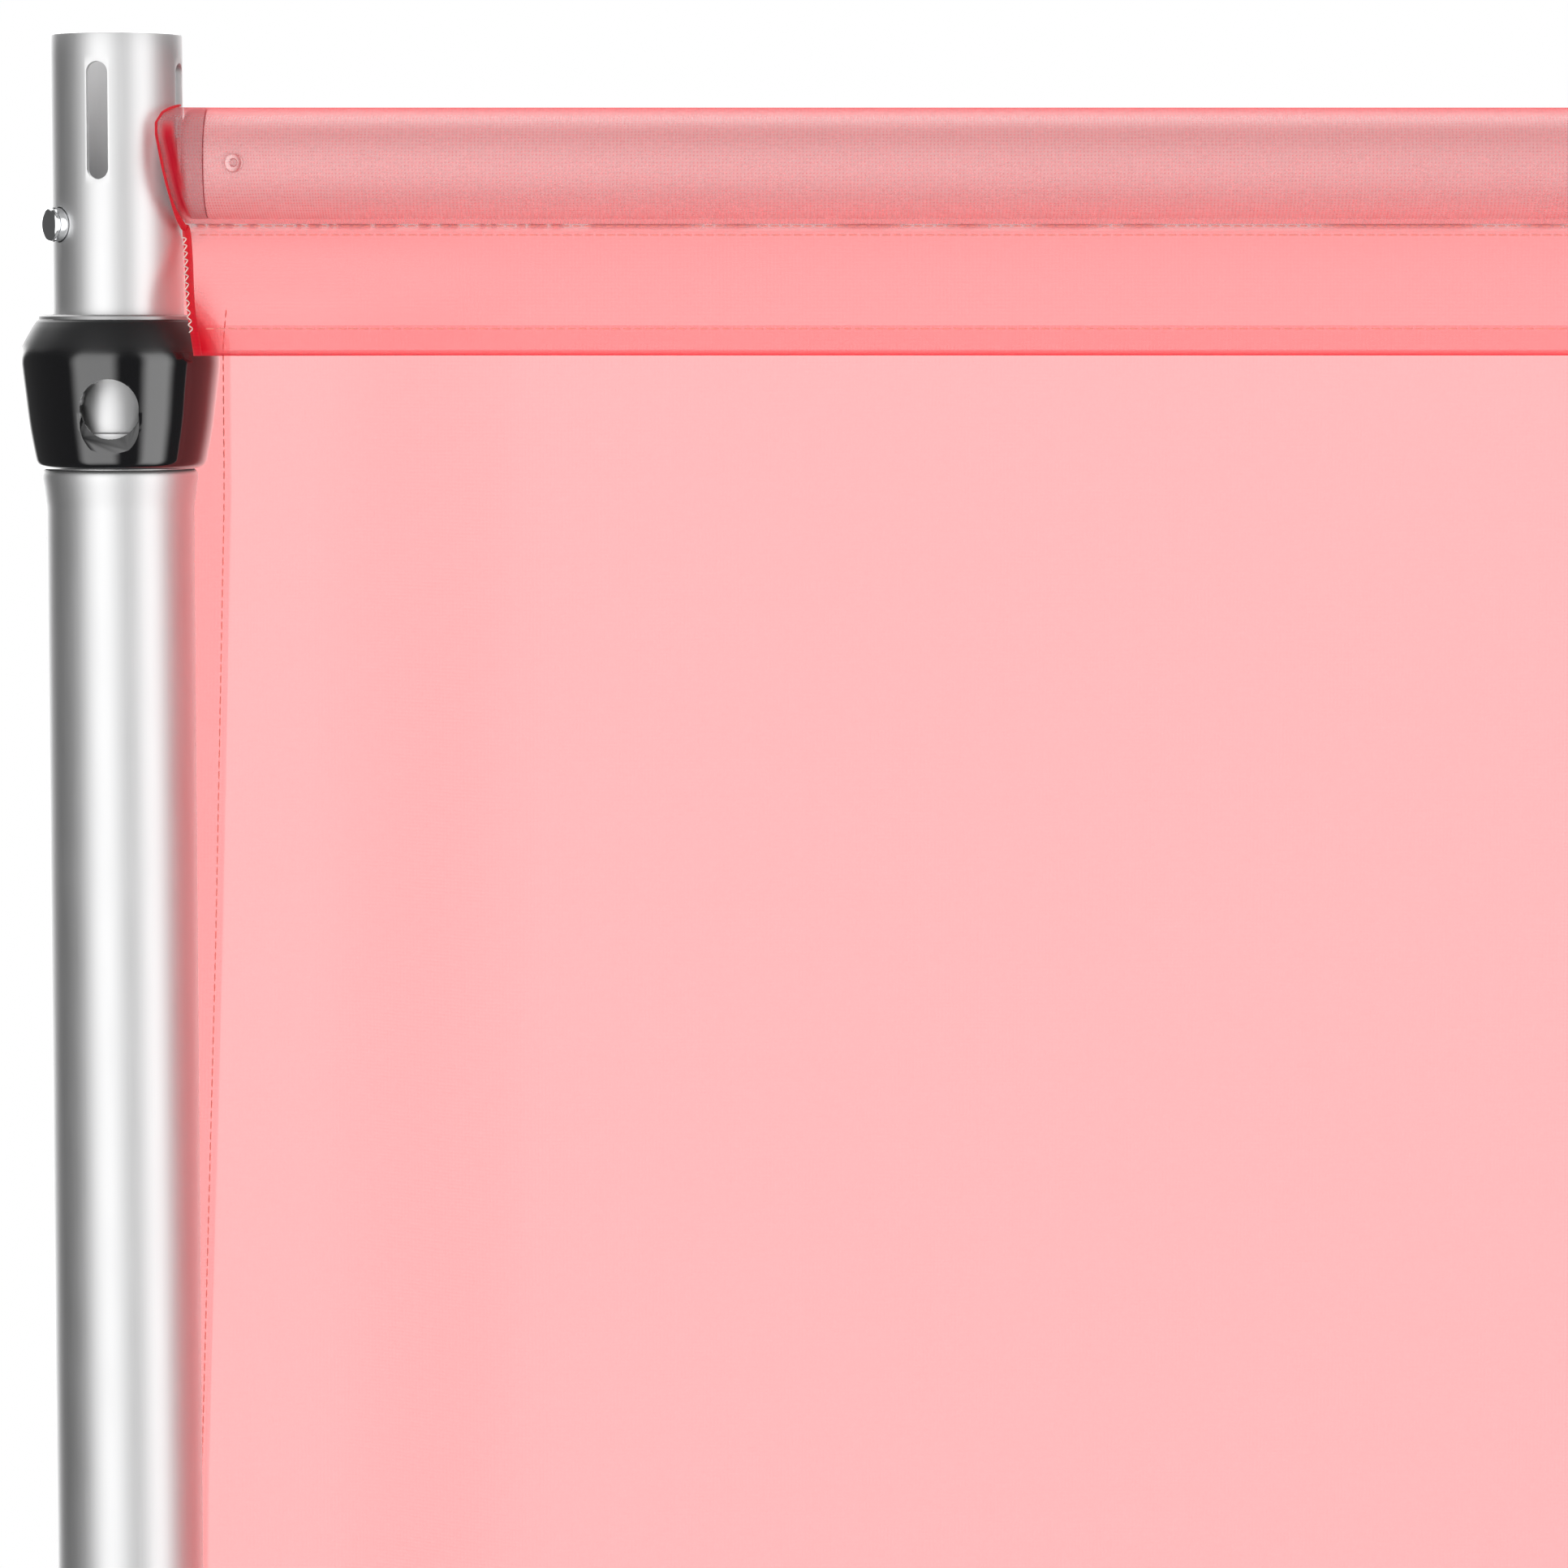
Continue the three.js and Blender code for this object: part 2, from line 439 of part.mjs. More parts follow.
function mouthBushing() {
    const sleeve = mouthBore + MOUTH_WALL;
    const mouth = barEnd + BAR_LENGTH;
    const end = mouth + MOUTH_FLANGE;
    return onBar(turned([[mouthBore, mouth - MOUTH_SLEEVE], [sleeve, mouth - MOUTH_SLEEVE], [sleeve, mouth + RUNNING],
        [BAR_RADIUS, mouth + RUNNING], [BAR_RADIUS, end - EDGE_BREAK], [BAR_RADIUS - EDGE_BREAK, end], [mouthBore, end]]));
}

function slidePlug() {
    const rim = BAR_RADIUS - BAR_WALL - RUNNING;
    const spigot = slideRadius - SLIDE_WALL - RUNNING;
    const seat = slideStart - RUNNING;
    const face = seat - SLIDE_PLUG_FLANGE;
    return onBar(turned([[0, face], [rim - EDGE_BREAK, face], [rim, face + EDGE_BREAK], [rim, seat], [spigot, seat],
        [spigot, seat + SLIDE_PLUG_SPIGOT], [0, seat + SLIDE_PLUG_SPIGOT]]));
}

// ---- The drape, as a plain closed solid ----

/** A sheet standing on edge along X, whose two ends swing to another depth to pass the uprights. */
function hangingSheet(middle, side, reach, bottom, top) {
    const line = [];
    for (let i = 0; i <= TURN_STEPS; i++) {
        const share = i / TURN_STEPS;
        const x = TURN_START + (TURN_END - TURN_START) * share;
        line.push([x, side + (middle - side) * (1 - Math.cos(Math.PI * share)) / 2]);
    }
    const left = [[reach, side], ...line];
    const right = left.map(([x, y]) => [SPAN - x, y]).reverse();
    const front = [...left, ...right].map(([x, y]) => new THREE.Vector2(x, y - CLOTH / 2));
    const back = [...left, ...right].map(([x, y]) => new THREE.Vector2(x, y + CLOTH / 2)).reverse();
    const geometry = new THREE.ExtrudeGeometry(new THREE.Shape([...front, ...back]),
        { depth: top - bottom, bevelEnabled: false });
    return solid(geometry.translate(0, 0, bottom));
}

function drape() {
    const radius = BAR_RADIUS + POCKET_SLACK;
    const pocketAxis = barAxis - POCKET_SLACK + RUNNING;
    const start = UPPER_RADIUS + THROAT_PLAY;
    const pocket = along(pipe(radius, radius + CLOTH, start, SPAN - start),
        new THREE.Vector3(1, 0, 0), new THREE.Vector3(0, barOffset, pocketAxis));
    const seam = pocketAxis - radius - CLOTH / 2;
    const hem = pocketAxis + radius + CLOTH - HEADER_DEPTH;
    const panel = hangingSheet(barOffset, collarRadius + PANEL_CLEAR, EDGE_REACH, DRAPE_CLEAR, seam);
    const flap = hangingSheet(barOffset - CLOTH / 2, -UPPER_RADIUS - FLAP_CLEAR, UPPER_RADIUS + FLAP_INSET, hem, seam);
    return pocket.add(panel).add(flap);
}

// ---- The assembly ----

const frame = new THREE.Group();

function place(group, name, body, material, mirrored = false) {
    const mesh = new THREE.Mesh(geometryOf(body, mirrored), material);
    mesh.name = name;
    group.add(mesh);
}

function upright(side, mirrored, tubeRadius, tubeWall) {
    const group = new THREE.Group();
    const add = (name, body, material) => place(group, `${name}_${side}`, body, material, mirrored);
    add('base_plate', basePlate(), BLACK_STEEL);
    add('base_pin', basePin(), GREY_STEEL);
    add('base_bolt', baseBolt(), GREY_STEEL);
    footSpots.forEach((spot, i) => add(`foot_${i + 1}`, foot(spot), RUBBER));
    add('lower_tube', lowerTube(), SATIN_ALUMINIUM);
    add('collar_body', collarBody(), BLACK_GLOSS);
    add('collar_ring', collarRing(), SATIN_ALUMINIUM);
    add('grip_ring', gripRing(), GREY_NYLON);
    add('upper_tube', upperTube(), SATIN_ALUMINIUM);
    add('tube_head', tubeHead(), SATIN_ALUMINIUM);
    add('tube_foot', tubeFoot(), GREY_NYLON);
    add('snap_button', snapButton(), CHROME);
    add('button_spring', buttonSpring(), GREY_STEEL);
    add('hook', hook(), GREY_STEEL);
    add('hook_plug', hookPlug(tubeRadius, tubeWall), GREY_NYLON);
    add('hook_rivet', hookRivet(tubeRadius), GREY_STEEL);
    group.position.x = mirrored ? SPAN / 2 : -SPAN / 2;
    frame.add(group);
}

upright('left', false, BAR_RADIUS, BAR_WALL);
upright('right', true, slideRadius, SLIDE_WALL);

const across = new THREE.Group();
place(across, 'crossbar_tube', crossbarTube(), SATIN_ALUMINIUM);
place(across, 'mouth_bushing', mouthBushing(), GREY_NYLON);
place(across, 'slide_plug', slidePlug(), GREY_NYLON);
place(across, 'drape', drape(), CORAL_VOILE);
across.position.x = -SPAN / 2;
frame.add(across);

const fromRight = new THREE.Group();
place(fromRight, 'slide_tube', slideTube(), SATIN_ALUMINIUM, true);
fromRight.position.x = SPAN / 2;
frame.add(fromRight);

export default frame;
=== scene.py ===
# %% [markdown]
# # A pipe-and-drape frame
# Two telescopic uprights stand on flat steel bases. A telescopic crossbar hooks into slots at
# their tops, and a sheer coral drape hangs from it by a rod pocket. This lesson builds what the
# eye sees around a finished engineering model: the model's pieces come in first, and each new
# piece is laid where they say. The alternative is to model in a blank file and line things up
# afterwards, which drifts; reading every place from the model keeps both the same size.

# %% The tools, and the engineering model
import json
import math

import bmesh
import bpy
import numpy as np
from mathutils import Matrix, Vector


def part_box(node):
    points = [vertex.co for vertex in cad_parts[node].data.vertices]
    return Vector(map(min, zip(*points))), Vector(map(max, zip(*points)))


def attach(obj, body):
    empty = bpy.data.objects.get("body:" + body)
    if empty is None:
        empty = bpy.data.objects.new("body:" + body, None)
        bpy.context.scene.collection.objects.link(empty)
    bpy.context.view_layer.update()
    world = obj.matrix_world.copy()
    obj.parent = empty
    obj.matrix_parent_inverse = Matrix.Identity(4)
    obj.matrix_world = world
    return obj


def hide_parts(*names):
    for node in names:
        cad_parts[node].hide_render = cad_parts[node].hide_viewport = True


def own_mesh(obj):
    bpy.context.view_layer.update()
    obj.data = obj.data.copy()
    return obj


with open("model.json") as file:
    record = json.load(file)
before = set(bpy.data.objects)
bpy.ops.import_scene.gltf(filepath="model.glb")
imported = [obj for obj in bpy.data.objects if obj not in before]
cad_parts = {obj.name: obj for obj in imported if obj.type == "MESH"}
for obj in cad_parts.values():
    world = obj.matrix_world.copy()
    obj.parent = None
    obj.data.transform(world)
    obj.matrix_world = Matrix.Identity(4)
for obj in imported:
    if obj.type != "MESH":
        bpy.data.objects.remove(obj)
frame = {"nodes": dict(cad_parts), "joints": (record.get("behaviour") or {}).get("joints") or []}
scene = bpy.context.scene
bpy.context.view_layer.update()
MM = 0.001
SIDES = ("left", "right")

# %% [markdown]
# ## Where things are
# A box round a node gives its lowest and highest corners. The tubes' axes, radii and ends all
# follow from such boxes, so nothing below repeats a size that the model already knows.

# %% Places read from the model


def middle(node, axis):
    """The middle of a node's box along one axis, in metres."""
    low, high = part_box(node)
    return (low[axis] + high[axis]) / 2


def reach(node, axis):
    """Half the size of a node's box along one axis, in metres."""
    low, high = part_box(node)
    return (high[axis] - low[axis]) / 2


mast_x = middle("tube_head_left", 0)
mast_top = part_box("tube_head_left")[1].z
mast_radius = reach("tube_head_left", 0)
bar_y, bar_z = middle("crossbar_tube", 1), middle("crossbar_tube", 2)
bar_radius = reach("crossbar_tube", 1)
slide_radius = reach("slide_tube", 1)
collar_low, collar_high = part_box("collar_body_left")
print(f"left axis at x {mast_x:.4f}, mast top {mast_top:.4f}, crossbar axis at z {bar_z:.4f}")

# %% [markdown]
# ## The camera
# It stands in front of the drape, level with the collar of the left upright, a little to the
# right of it and tipped slightly down. A long lens from under two metres away keeps the tubes'
# sides nearly parallel. A short lens close by would splay them.

# %% Camera
CAMERA_ASIDE, CAMERA_BACK, CAMERA_DROP = 0.194, 1.686, 0.0797
CAMERA_TIP = 4.7
LENS = 132.3

camera_data = bpy.data.cameras.new("camera")
camera_data.lens = LENS
camera_data.sensor_width = 36
camera_data.clip_end = 60
camera = bpy.data.objects.new("camera", camera_data)
camera.location = (mast_x + CAMERA_ASIDE, -CAMERA_BACK, mast_top - CAMERA_DROP)
camera.rotation_euler = (math.radians(90 - CAMERA_TIP), 0, 0)
scene.collection.objects.link(camera)
scene.camera = camera
scene.view_settings.view_transform = "Standard"
scene.cycles.transparent_max_bounces = 32
print("camera at", [round(v, 3) for v in camera.location])

# %% [markdown]
# ## Shader maths as sums
# A material's nodes are wired by hand in the editor. In a script the same wiring is easier to
# read as arithmetic, so one small class stands for a socket and adds a Math node for each sign
# written between two of them. Everything that isn't a sum comes from one method, which takes a
# node's type, its settings and what goes into its sockets.

# %% A socket that can be added and multiplied


class Wire:
    """A value on its way through the nodes of a finish."""

    def __init__(self, finish, socket):
        self.finish, self.socket = finish, socket

    def maths(self, operation, *terms):
        return self.finish.node("ShaderNodeMath", {"operation": operation}, dict(enumerate(terms)))

    def __add__(self, other):
        return self.maths("ADD", self, other)

    def __sub__(self, other):
        return self.maths("SUBTRACT", self, other)

    def __rsub__(self, other):
        return self.maths("SUBTRACT", other, self)

    def __mul__(self, other):
        return self.maths("MULTIPLY", self, other)

    def __pow__(self, other):
        return self.maths("POWER", self, other)

    __radd__, __rmul__ = __add__, __mul__

    def sine(self):
        return self.maths("SINE", self)

    def size(self):
        return self.maths("ABSOLUTE", self)

    def step(self, start, end, low=0.0, high=1.0):
        """Rises smoothly from low to high as the value goes from start to end."""
        return self.finish.node("ShaderNodeMapRange", {"interpolation_type": "SMOOTHSTEP"},
                                {"Value": self, "From Min": start, "From Max": end,
                                 "To Min": low, "To Max": high})


class Finish:
    """The node tree of a material or of the surroundings."""

    def __init__(self, owner):
        owner.use_nodes = True
        self.owner, self.tree = owner, owner.node_tree
        self.tree.nodes.clear()

    def node(self, kind, settings=None, values=None, output=0):
        """Adds a node, sets it up, fills its sockets, and returns one of its outputs."""
        node = self.tree.nodes.new(kind)
        for name, value in (settings or {}).items():
            setattr(node, name, value)
        for name, value in (values or {}).items():
            if isinstance(value, Wire):
                self.tree.links.new(value.socket, node.inputs[name])
            else:
                node.inputs[name].default_value = value
        return Wire(self, node.outputs[output]) if node.outputs else None

    def colours(self, mask, low, high):
        """A colour between two others, by a mask from 0 to 1."""
        return self.node("ShaderNodeMix", {"data_type": "RGBA"},
                         {"Factor": mask, 6: low, 7: high}, output=2)

    def place(self, scale=(1, 1, 1)):
        """The object's own coordinates, in metres, stretched by a scale."""
        point = self.node("ShaderNodeTexCoord", output="Object")
        return self.node("ShaderNodeMapping", {}, {"Vector": point, "Scale": scale})

    def noise(self, where, scale, detail=2.0):
        return self.node("ShaderNodeTexNoise", {}, {"Vector": where, "Scale": scale, "Detail": detail})

    def split(self, vector):
        """The three coordinates of a vector."""
        node = self.tree.nodes.new("ShaderNodeSeparateXYZ")
        self.tree.links.new(vector.socket, node.inputs[0])
        return [Wire(self, socket) for socket in node.outputs]

    def bump(self, height, distance, strength=1.0):
        return self.node("ShaderNodeBump", {}, {"Height": height, "Distance": distance, "Strength": strength})


def painted(colour):
    return (*colour, 1.0)


def material(name):
    return Finish(bpy.data.materials.new(name))


def finished(finish, shader):
    """Sends a shader to the material's output and returns the material."""
    finish.node("ShaderNodeOutputMaterial", {}, {"Surface": shader})
    return finish.owner


def principled(finish, values):
    """Finishes a material with the all-round shader, whose sockets take the values."""
    return finished(finish, finish.node("ShaderNodeBsdfPrincipled", {}, values))


# %% [markdown]
# ## Light
# Small objects are lit in a studio by big soft lamps with white board behind. Lamps could be
# laid out as objects, but their edges would show as hard lines in the gloss. Here they are
# painted onto the surroundings instead, as soft-edged patches by direction: a lamp at the front
# on each side, a narrow one behind on the left, and white board all across the back, brighter
# high up. It stays dark in between, which is what gives a bright tube its dark edges. What the
# camera sees directly is plain white.

# %% Surroundings
LAMPS = (
    # direction round from the front in degrees, half width, soft edge, brightness
    (-23, 17, 15, 1.85),
    (52, 9, 15, 2.2),
    (-152, 8, 12, 2.0),
)
# the board's and the dome's brightness rises between two angles round from the front, from one
# level to another, and the dome's also between two heights of the direction
BOARD, DOME, DOME_HEIGHTS = (130, 155, 0.10, 1.35), (95, 120, 0, 2.2), (0.35, 0.7)
studio = Finish(bpy.data.worlds.new("studio"))
scene.world = studio.owner
direction = studio.node("ShaderNodeTexCoord", output="Generated")
across, depth, height = studio.split(direction)
round_front = across.maths("ARCTAN2", across, 0 - depth) * (180 / math.pi)
level = height.size().step(0.45, 0.85, 1, 0)
glow = round_front.size().step(*BOARD)
for centre, half, soft, strength in LAMPS:
    glow = glow + (round_front - centre).size().step(half, half + soft, strength, 0) * level
glow = glow + height.step(*DOME_HEIGHTS) * round_front.size().step(*DOME)
rays = studio.node("ShaderNodeLightPath", output="Is Camera Ray")
seen = studio.node("ShaderNodeBackground", {}, {"Color": painted((1, 1, 1)), "Strength": 1.0})
lit = studio.node("ShaderNodeBackground", {}, {"Color": painted((1, 1, 1)), "Strength": glow})
both = studio.node("ShaderNodeMixShader", {}, {0: rays, 1: lit, 2: seen})
studio.node("ShaderNodeOutputWorld", {}, {"Surface": both})
print("lamps", len(LAMPS))

# %% [markdown]
# ## The floor
# A pale floor grounds the frame in views from further away. It is a round sheet of studio
# paper, much wider than the frame.

# %% Floor
FLOOR_RADIUS = 3.6


def clear_selection():
    """Leaves edit mode and deselects everything, since operators act on all that is selected."""
    if bpy.context.mode != "OBJECT":
        bpy.ops.object.mode_set(mode="OBJECT")
    bpy.ops.object.select_all(action="DESELECT")


def choose(piece):
    """Makes one piece the only one that operators act on."""
    clear_selection()
    piece.select_set(True)
    bpy.context.view_layer.objects.active = piece


def edit_all():
    """Opens the active piece for editing with all of it selected."""
    bpy.ops.object.mode_set(mode="EDIT")
    bpy.ops.mesh.select_all(action="SELECT")


def face_out():
    """Ends an edit with every face of the piece pointing out."""
    bpy.ops.mesh.select_all(action="SELECT")
    bpy.ops.mesh.normals_make_consistent(inside=False)
    bpy.ops.object.mode_set(mode="OBJECT")


def pull_up(by):
    """Extrudes what is selected straight up, by a length in metres."""
    bpy.ops.mesh.extrude_region_move(TRANSFORM_OT_translate={"value": (0, 0, by)})


clear_selection()
bpy.ops.mesh.primitive_circle_add(vertices=96, radius=FLOOR_RADIUS, fill_type="NGON",
                                  location=(0, 0, -0.0005))
floor = bpy.context.object
floor.name = "floor"
bpy.ops.object.transform_apply(location=True)
paper = material("studio_paper")
fleck = paper.noise(paper.place(), 40)
floor.data.materials.append(principled(paper, {
    "Base Color": paper.colours(fleck, painted((0.78, 0.78, 0.77)), painted((0.84, 0.84, 0.835))),
    "Roughness": 0.9}))
floor.visible_glossy = False

# %% [markdown]
# ## Finishes of the metal pieces
# The tubes are anodised aluminium: pale, satin, with a grain drawn out along the tube. A plain
# grey metal looks like plastic under soft light, so the grain changes the colour and the
# roughness a little, and a much finer bump breaks up the reflections. Which way the grain runs
# depends on the tube, and the crossbar has a thicker, paler coat, so the finish is made twice.

# %% Satin aluminium


def satin(name, along, low, high, metallic):
    """Anodised aluminium with its grain along one axis."""
    finish = material(name)
    drawn = [1.0 if axis == along else 60.0 for axis in "XYZ"]
    grain = finish.noise(finish.place(drawn), 45, 4)
    cloud = finish.noise(finish.place(), 35, 3)
    return principled(finish, {
        "Base Color": finish.colours(grain * 0.6 + cloud * 0.4, painted(low), painted(high)),
        "Metallic": metallic,
        "Roughness": grain * 0.08 + cloud * 0.05 + 0.45,
        "Normal": finish.bump(grain, 0.00001, 0.5)})


upright_satin = satin("satin_upright", "Z", (0.77, 0.77, 0.77), (0.85, 0.85, 0.855), 1.0)
crossbar_satin = satin("satin_crossbar", "X", (0.90, 0.90, 0.90), (0.97, 0.97, 0.97), 0.35)

# %% [markdown]
# Chrome, zinc and the plastics each need something of their own: chrome a faint haze of fine
# scratches, zinc plate its mottled spangle, moulded nylon a fine spark-eroded grain, and powder
# coat the small dimples it dries with. One recipe serves them all, with different numbers.

# %% The smaller finishes


def hard(name, low, high, metallic, rough, spread, grain, relief, coat=0.0):
    """A hard finish: two colours and a roughness mixed by grain of one size, with some relief."""
    finish = material(name)
    speck = finish.noise(finish.place(), grain, 3)
    cloud = finish.noise(finish.place(), grain / 12, 2)
    return principled(finish, {
        "Base Color": finish.colours(cloud * 0.5 + speck * 0.5, painted(low), painted(high)),
        "Metallic": metallic,
        "Roughness": speck * spread + rough,
        "Coat Weight": coat,
        "Coat Roughness": 0.05,
        "Normal": finish.bump(speck, relief)})


chrome = hard("chrome", (0.80, 0.81, 0.82), (0.88, 0.89, 0.90), 1, 0.05, 0.07, 900, 0.000002)
zinc = hard("zinc_plate", (0.50, 0.50, 0.51), (0.66, 0.66, 0.66), 1, 0.26, 0.16, 420, 0.000015)
nylon = hard("grey_nylon", (0.20, 0.20, 0.205), (0.26, 0.26, 0.265), 0, 0.42, 0.16, 1500, 0.00002)
powder = hard("black_powder_coat", (0.016, 0.016, 0.017), (0.028, 0.028, 0.03), 0, 0.42, 0.2, 700, 0.00008)
dull_ring = hard("dull_ring", (0.46, 0.46, 0.46), (0.54, 0.54, 0.54), 1, 0.5, 0.1, 700, 0.00001)
pale_nylon = hard("pale_nylon", (0.50, 0.50, 0.51), (0.58, 0.58, 0.59), 0, 0.42, 0.16, 1500, 0.00002)
nickel = hard("nickel", (0.86, 0.86, 0.85), (0.95, 0.95, 0.94), 1, 0.28, 0.1, 600, 0.000005)
rubber = hard("black_rubber", (0.014, 0.014, 0.014), (0.024, 0.024, 0.023), 0, 0.75, 0.15, 500, 0.00004)

# %% [markdown]
# The collar is moulded in black plastic and polished, but its sloping top keeps the duller
# skin of the mould. Height decides which is which, so the roughness follows the object's own Z.

# %% Gloss black with a duller cone
CREST_HEIGHT = collar_high.z - 0.0105
gloss_black = material("gloss_black")
dull = gloss_black.split(gloss_black.place())[2].step(CREST_HEIGHT - 0.002, CREST_HEIGHT + 0.004)
swirl = gloss_black.noise(gloss_black.place(), 160, 3)
principled(gloss_black, {
    "Base Color": gloss_black.colours(dull, painted((0.002, 0.002, 0.003)), painted((0.007, 0.007, 0.008))),
    "Roughness": dull * 0.32 + swirl * 0.04 + 0.07,
    "IOR": 1.6,
    "Coat Weight": 1.0 - dull,
    "Coat Roughness": 0.06,
    "Normal": gloss_black.bump(swirl, 0.00002)})

# %% [markdown]
# ## Turning a piece
# Most of the frame is turned: tubes, plugs, rings, feet. The spin tool would do it from a drawn
# outline, but a ring of points pulled up and resized for each step of the outline gives the
# same surface with no seam to close. A tube's last ring is bridged back to its first, which
# gives the wall both its faces. A solid piece has its ends filled.

# %% Turning, cutting and copying
SMOOTH, SHARP = 32, 50      # degrees between faces: shaded as one up to the first, an edge from the second
SLOT_SIDES = 48


def tidy(piece):
    """Leaves a piece at the origin with its faces pointing out and its curves smooth."""
    choose(piece)
    bpy.ops.object.transform_apply(location=True, rotation=True, scale=True)
    mesh = bmesh.new()
    mesh.from_mesh(piece.data)
    inside_out = mesh.calc_volume(signed=True) < 0
    mesh.free()
    if inside_out:
        edit_all()
        bpy.ops.mesh.flip_normals()
        bpy.ops.object.mode_set(mode="OBJECT")
    bpy.ops.object.shade_smooth_by_angle(angle=math.radians(SMOOTH))
    return piece


def turned(name, outline, sides=128, hollow=True):
    """A piece turned about Z from (radius, height) steps in millimetres."""
    clear_selection()
    radius, start = outline[0]
    bpy.ops.mesh.primitive_circle_add(vertices=sides, radius=radius * MM, location=(0, 0, start * MM))
    piece = bpy.context.object
    piece.name = name
    edit_all()
    for (r0, z0), (r1, z1) in zip(outline, outline[1:]):
        pull_up((z1 - z0) * MM)
        bpy.ops.transform.resize(value=(r1 / r0, r1 / r0, 1), center_override=(0, 0, z1 * MM))
    if hollow:
        bpy.ops.mesh.select_mode(type="EDGE")
        bpy.ops.mesh.select_all(action="DESELECT")
        bpy.ops.mesh.select_non_manifold()
        bpy.ops.mesh.bridge_edge_loops()
    else:
        bpy.ops.mesh.select_all(action="SELECT")
        bpy.ops.mesh.fill_holes(sides=0)
    face_out()
    bpy.ops.object.transform_apply(location=True)
    return piece


def laid(piece, place, towards=None):
    """Turns a piece's own Z towards a direction and puts its origin at a place, in metres."""
    if towards is not None:
        piece.rotation_euler = Vector(towards).to_track_quat("Z", "Y").to_euler()
    piece.location = place
    choose(piece)
    bpy.ops.object.transform_apply(location=True, rotation=True)
    return piece


def applied(piece, kind, **settings):
    """Adds a modifier with its settings and applies it."""
    choose(piece)
    bpy.ops.object.modifier_add(type=kind)
    modifier = piece.modifiers[-1]
    for name, value in settings.items():
        setattr(modifier, name, value)
    bpy.ops.object.modifier_apply(modifier=modifier.name)


def softened(piece, width, segments):
    """Rounds a piece's sharp edges, over a width in millimetres."""
    applied(piece, "BEVEL", width=width * MM, segments=segments, limit_method="ANGLE",
            angle_limit=math.radians(SHARP))


def cut(piece, cutter):
    """Takes a cutter's shape out of a piece."""
    applied(piece, "BOOLEAN", operation="DIFFERENCE", solver="EXACT", object=cutter)
    bpy.data.objects.remove(cutter)


def facing(degrees):
    """The direction that stands at an angle from the front towards +X."""
    angle = math.radians(degrees)
    return Vector((math.sin(angle), -math.cos(angle), 0))


def slot_cutter(width, length, degrees, height, near, far):
    """A round-ended bar that stands out from the axis at an angle, to cut a slot or a window."""
    clear_selection()
    half_step = math.pi / SLOT_SIDES
    bpy.ops.mesh.primitive_circle_add(vertices=SLOT_SIDES, radius=width / 2 * MM, fill_type="NGON",
                                      rotation=(0, 0, half_step), location=(0, 0, 0))
    cutter = bpy.context.object
    bpy.ops.object.transform_apply(rotation=True)
    bpy.ops.object.mode_set(mode="EDIT")
    shape = bmesh.from_edit_mesh(cutter.data)
    for side in (1, -1):
        bpy.ops.mesh.select_all(action="DESELECT")
        for vertex in shape.verts:
            vertex.select = vertex.co.y * side > 0
        shape.select_flush_mode()
        bmesh.update_edit_mesh(cutter.data)
        bpy.ops.transform.translate(value=(0, side * (length - width) / 2 * MM, 0))
    bpy.ops.mesh.select_all(action="SELECT")
    pull_up((far - near) * MM)
    face_out()
    out = facing(degrees)
    up = Vector((0, 0, 1))
    basis = Matrix((up.cross(out), up, out)).transposed().to_4x4()
    cutter.matrix_world = Matrix.Translation(out * near * MM + up * height * MM) @ basis
    bpy.ops.object.transform_apply(location=True, rotation=True)
    return cutter


def twin(piece, name):
    """A copy for the other upright, mirrored across the middle of the frame."""
    choose(piece)
    bpy.ops.object.duplicate(linked=False)
    copy = bpy.context.object
    copy.name = name
    copy.scale.x = -1
    return tidy(copy)


def from_points(name, points, faces):
    """A piece with a mesh of its own, made of points in metres and the faces between them."""
    data = bpy.data.meshes.new(name)
    data.from_pydata([tuple(point) for point in points], [], faces)
    piece = bpy.data.objects.new(name, data)
    scene.collection.objects.link(piece)
    return piece


def kept(piece, body, finish, nodes):
    """Gives a finished piece its material and its body, and hides the nodes it stands for."""
    piece.data.materials.clear()
    piece.data.materials.append(finish)
    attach(piece, body)
    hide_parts(*nodes)


def pair(piece, body, finish, nodes):
    """Keeps a piece of the left upright, and its mirrored twin on the right one."""
    base = piece.name
    piece.location.x = mast_x
    tidy(piece)
    copy = twin(piece, f"{base}_right")
    piece.name = f"{base}_left"
    for side, one in zip(SIDES, (piece, copy)):
        kept(one, f"{body}_{side}", finish, [f"{node}_{side}" for node in nodes])


# %% [markdown]
# ## The upright's tubes
# The upper tube has four hook slots below its open end and a round hole for the snap button.
# Its wall is 2 mm thick. The slots could be left as a dark patch in the material, but the
# inside of the tube shows through them, so they are really cut, then their edges are broken
# with a small bevel as a deburred edge is. Rings of points just below the slots keep the long
# faces of the tube away from the cuts.

# %% Upper tube
WALL = 2.0
SLOT_WIDTH, SLOT_LENGTH, SLOT_BELOW_TOP = 6.35, 33.8, 8.3
TWIST = -11.1
BUTTON_TURN, BUTTON_BELOW_TOP, BUTTON_HOLE = -45, 55, 5.2

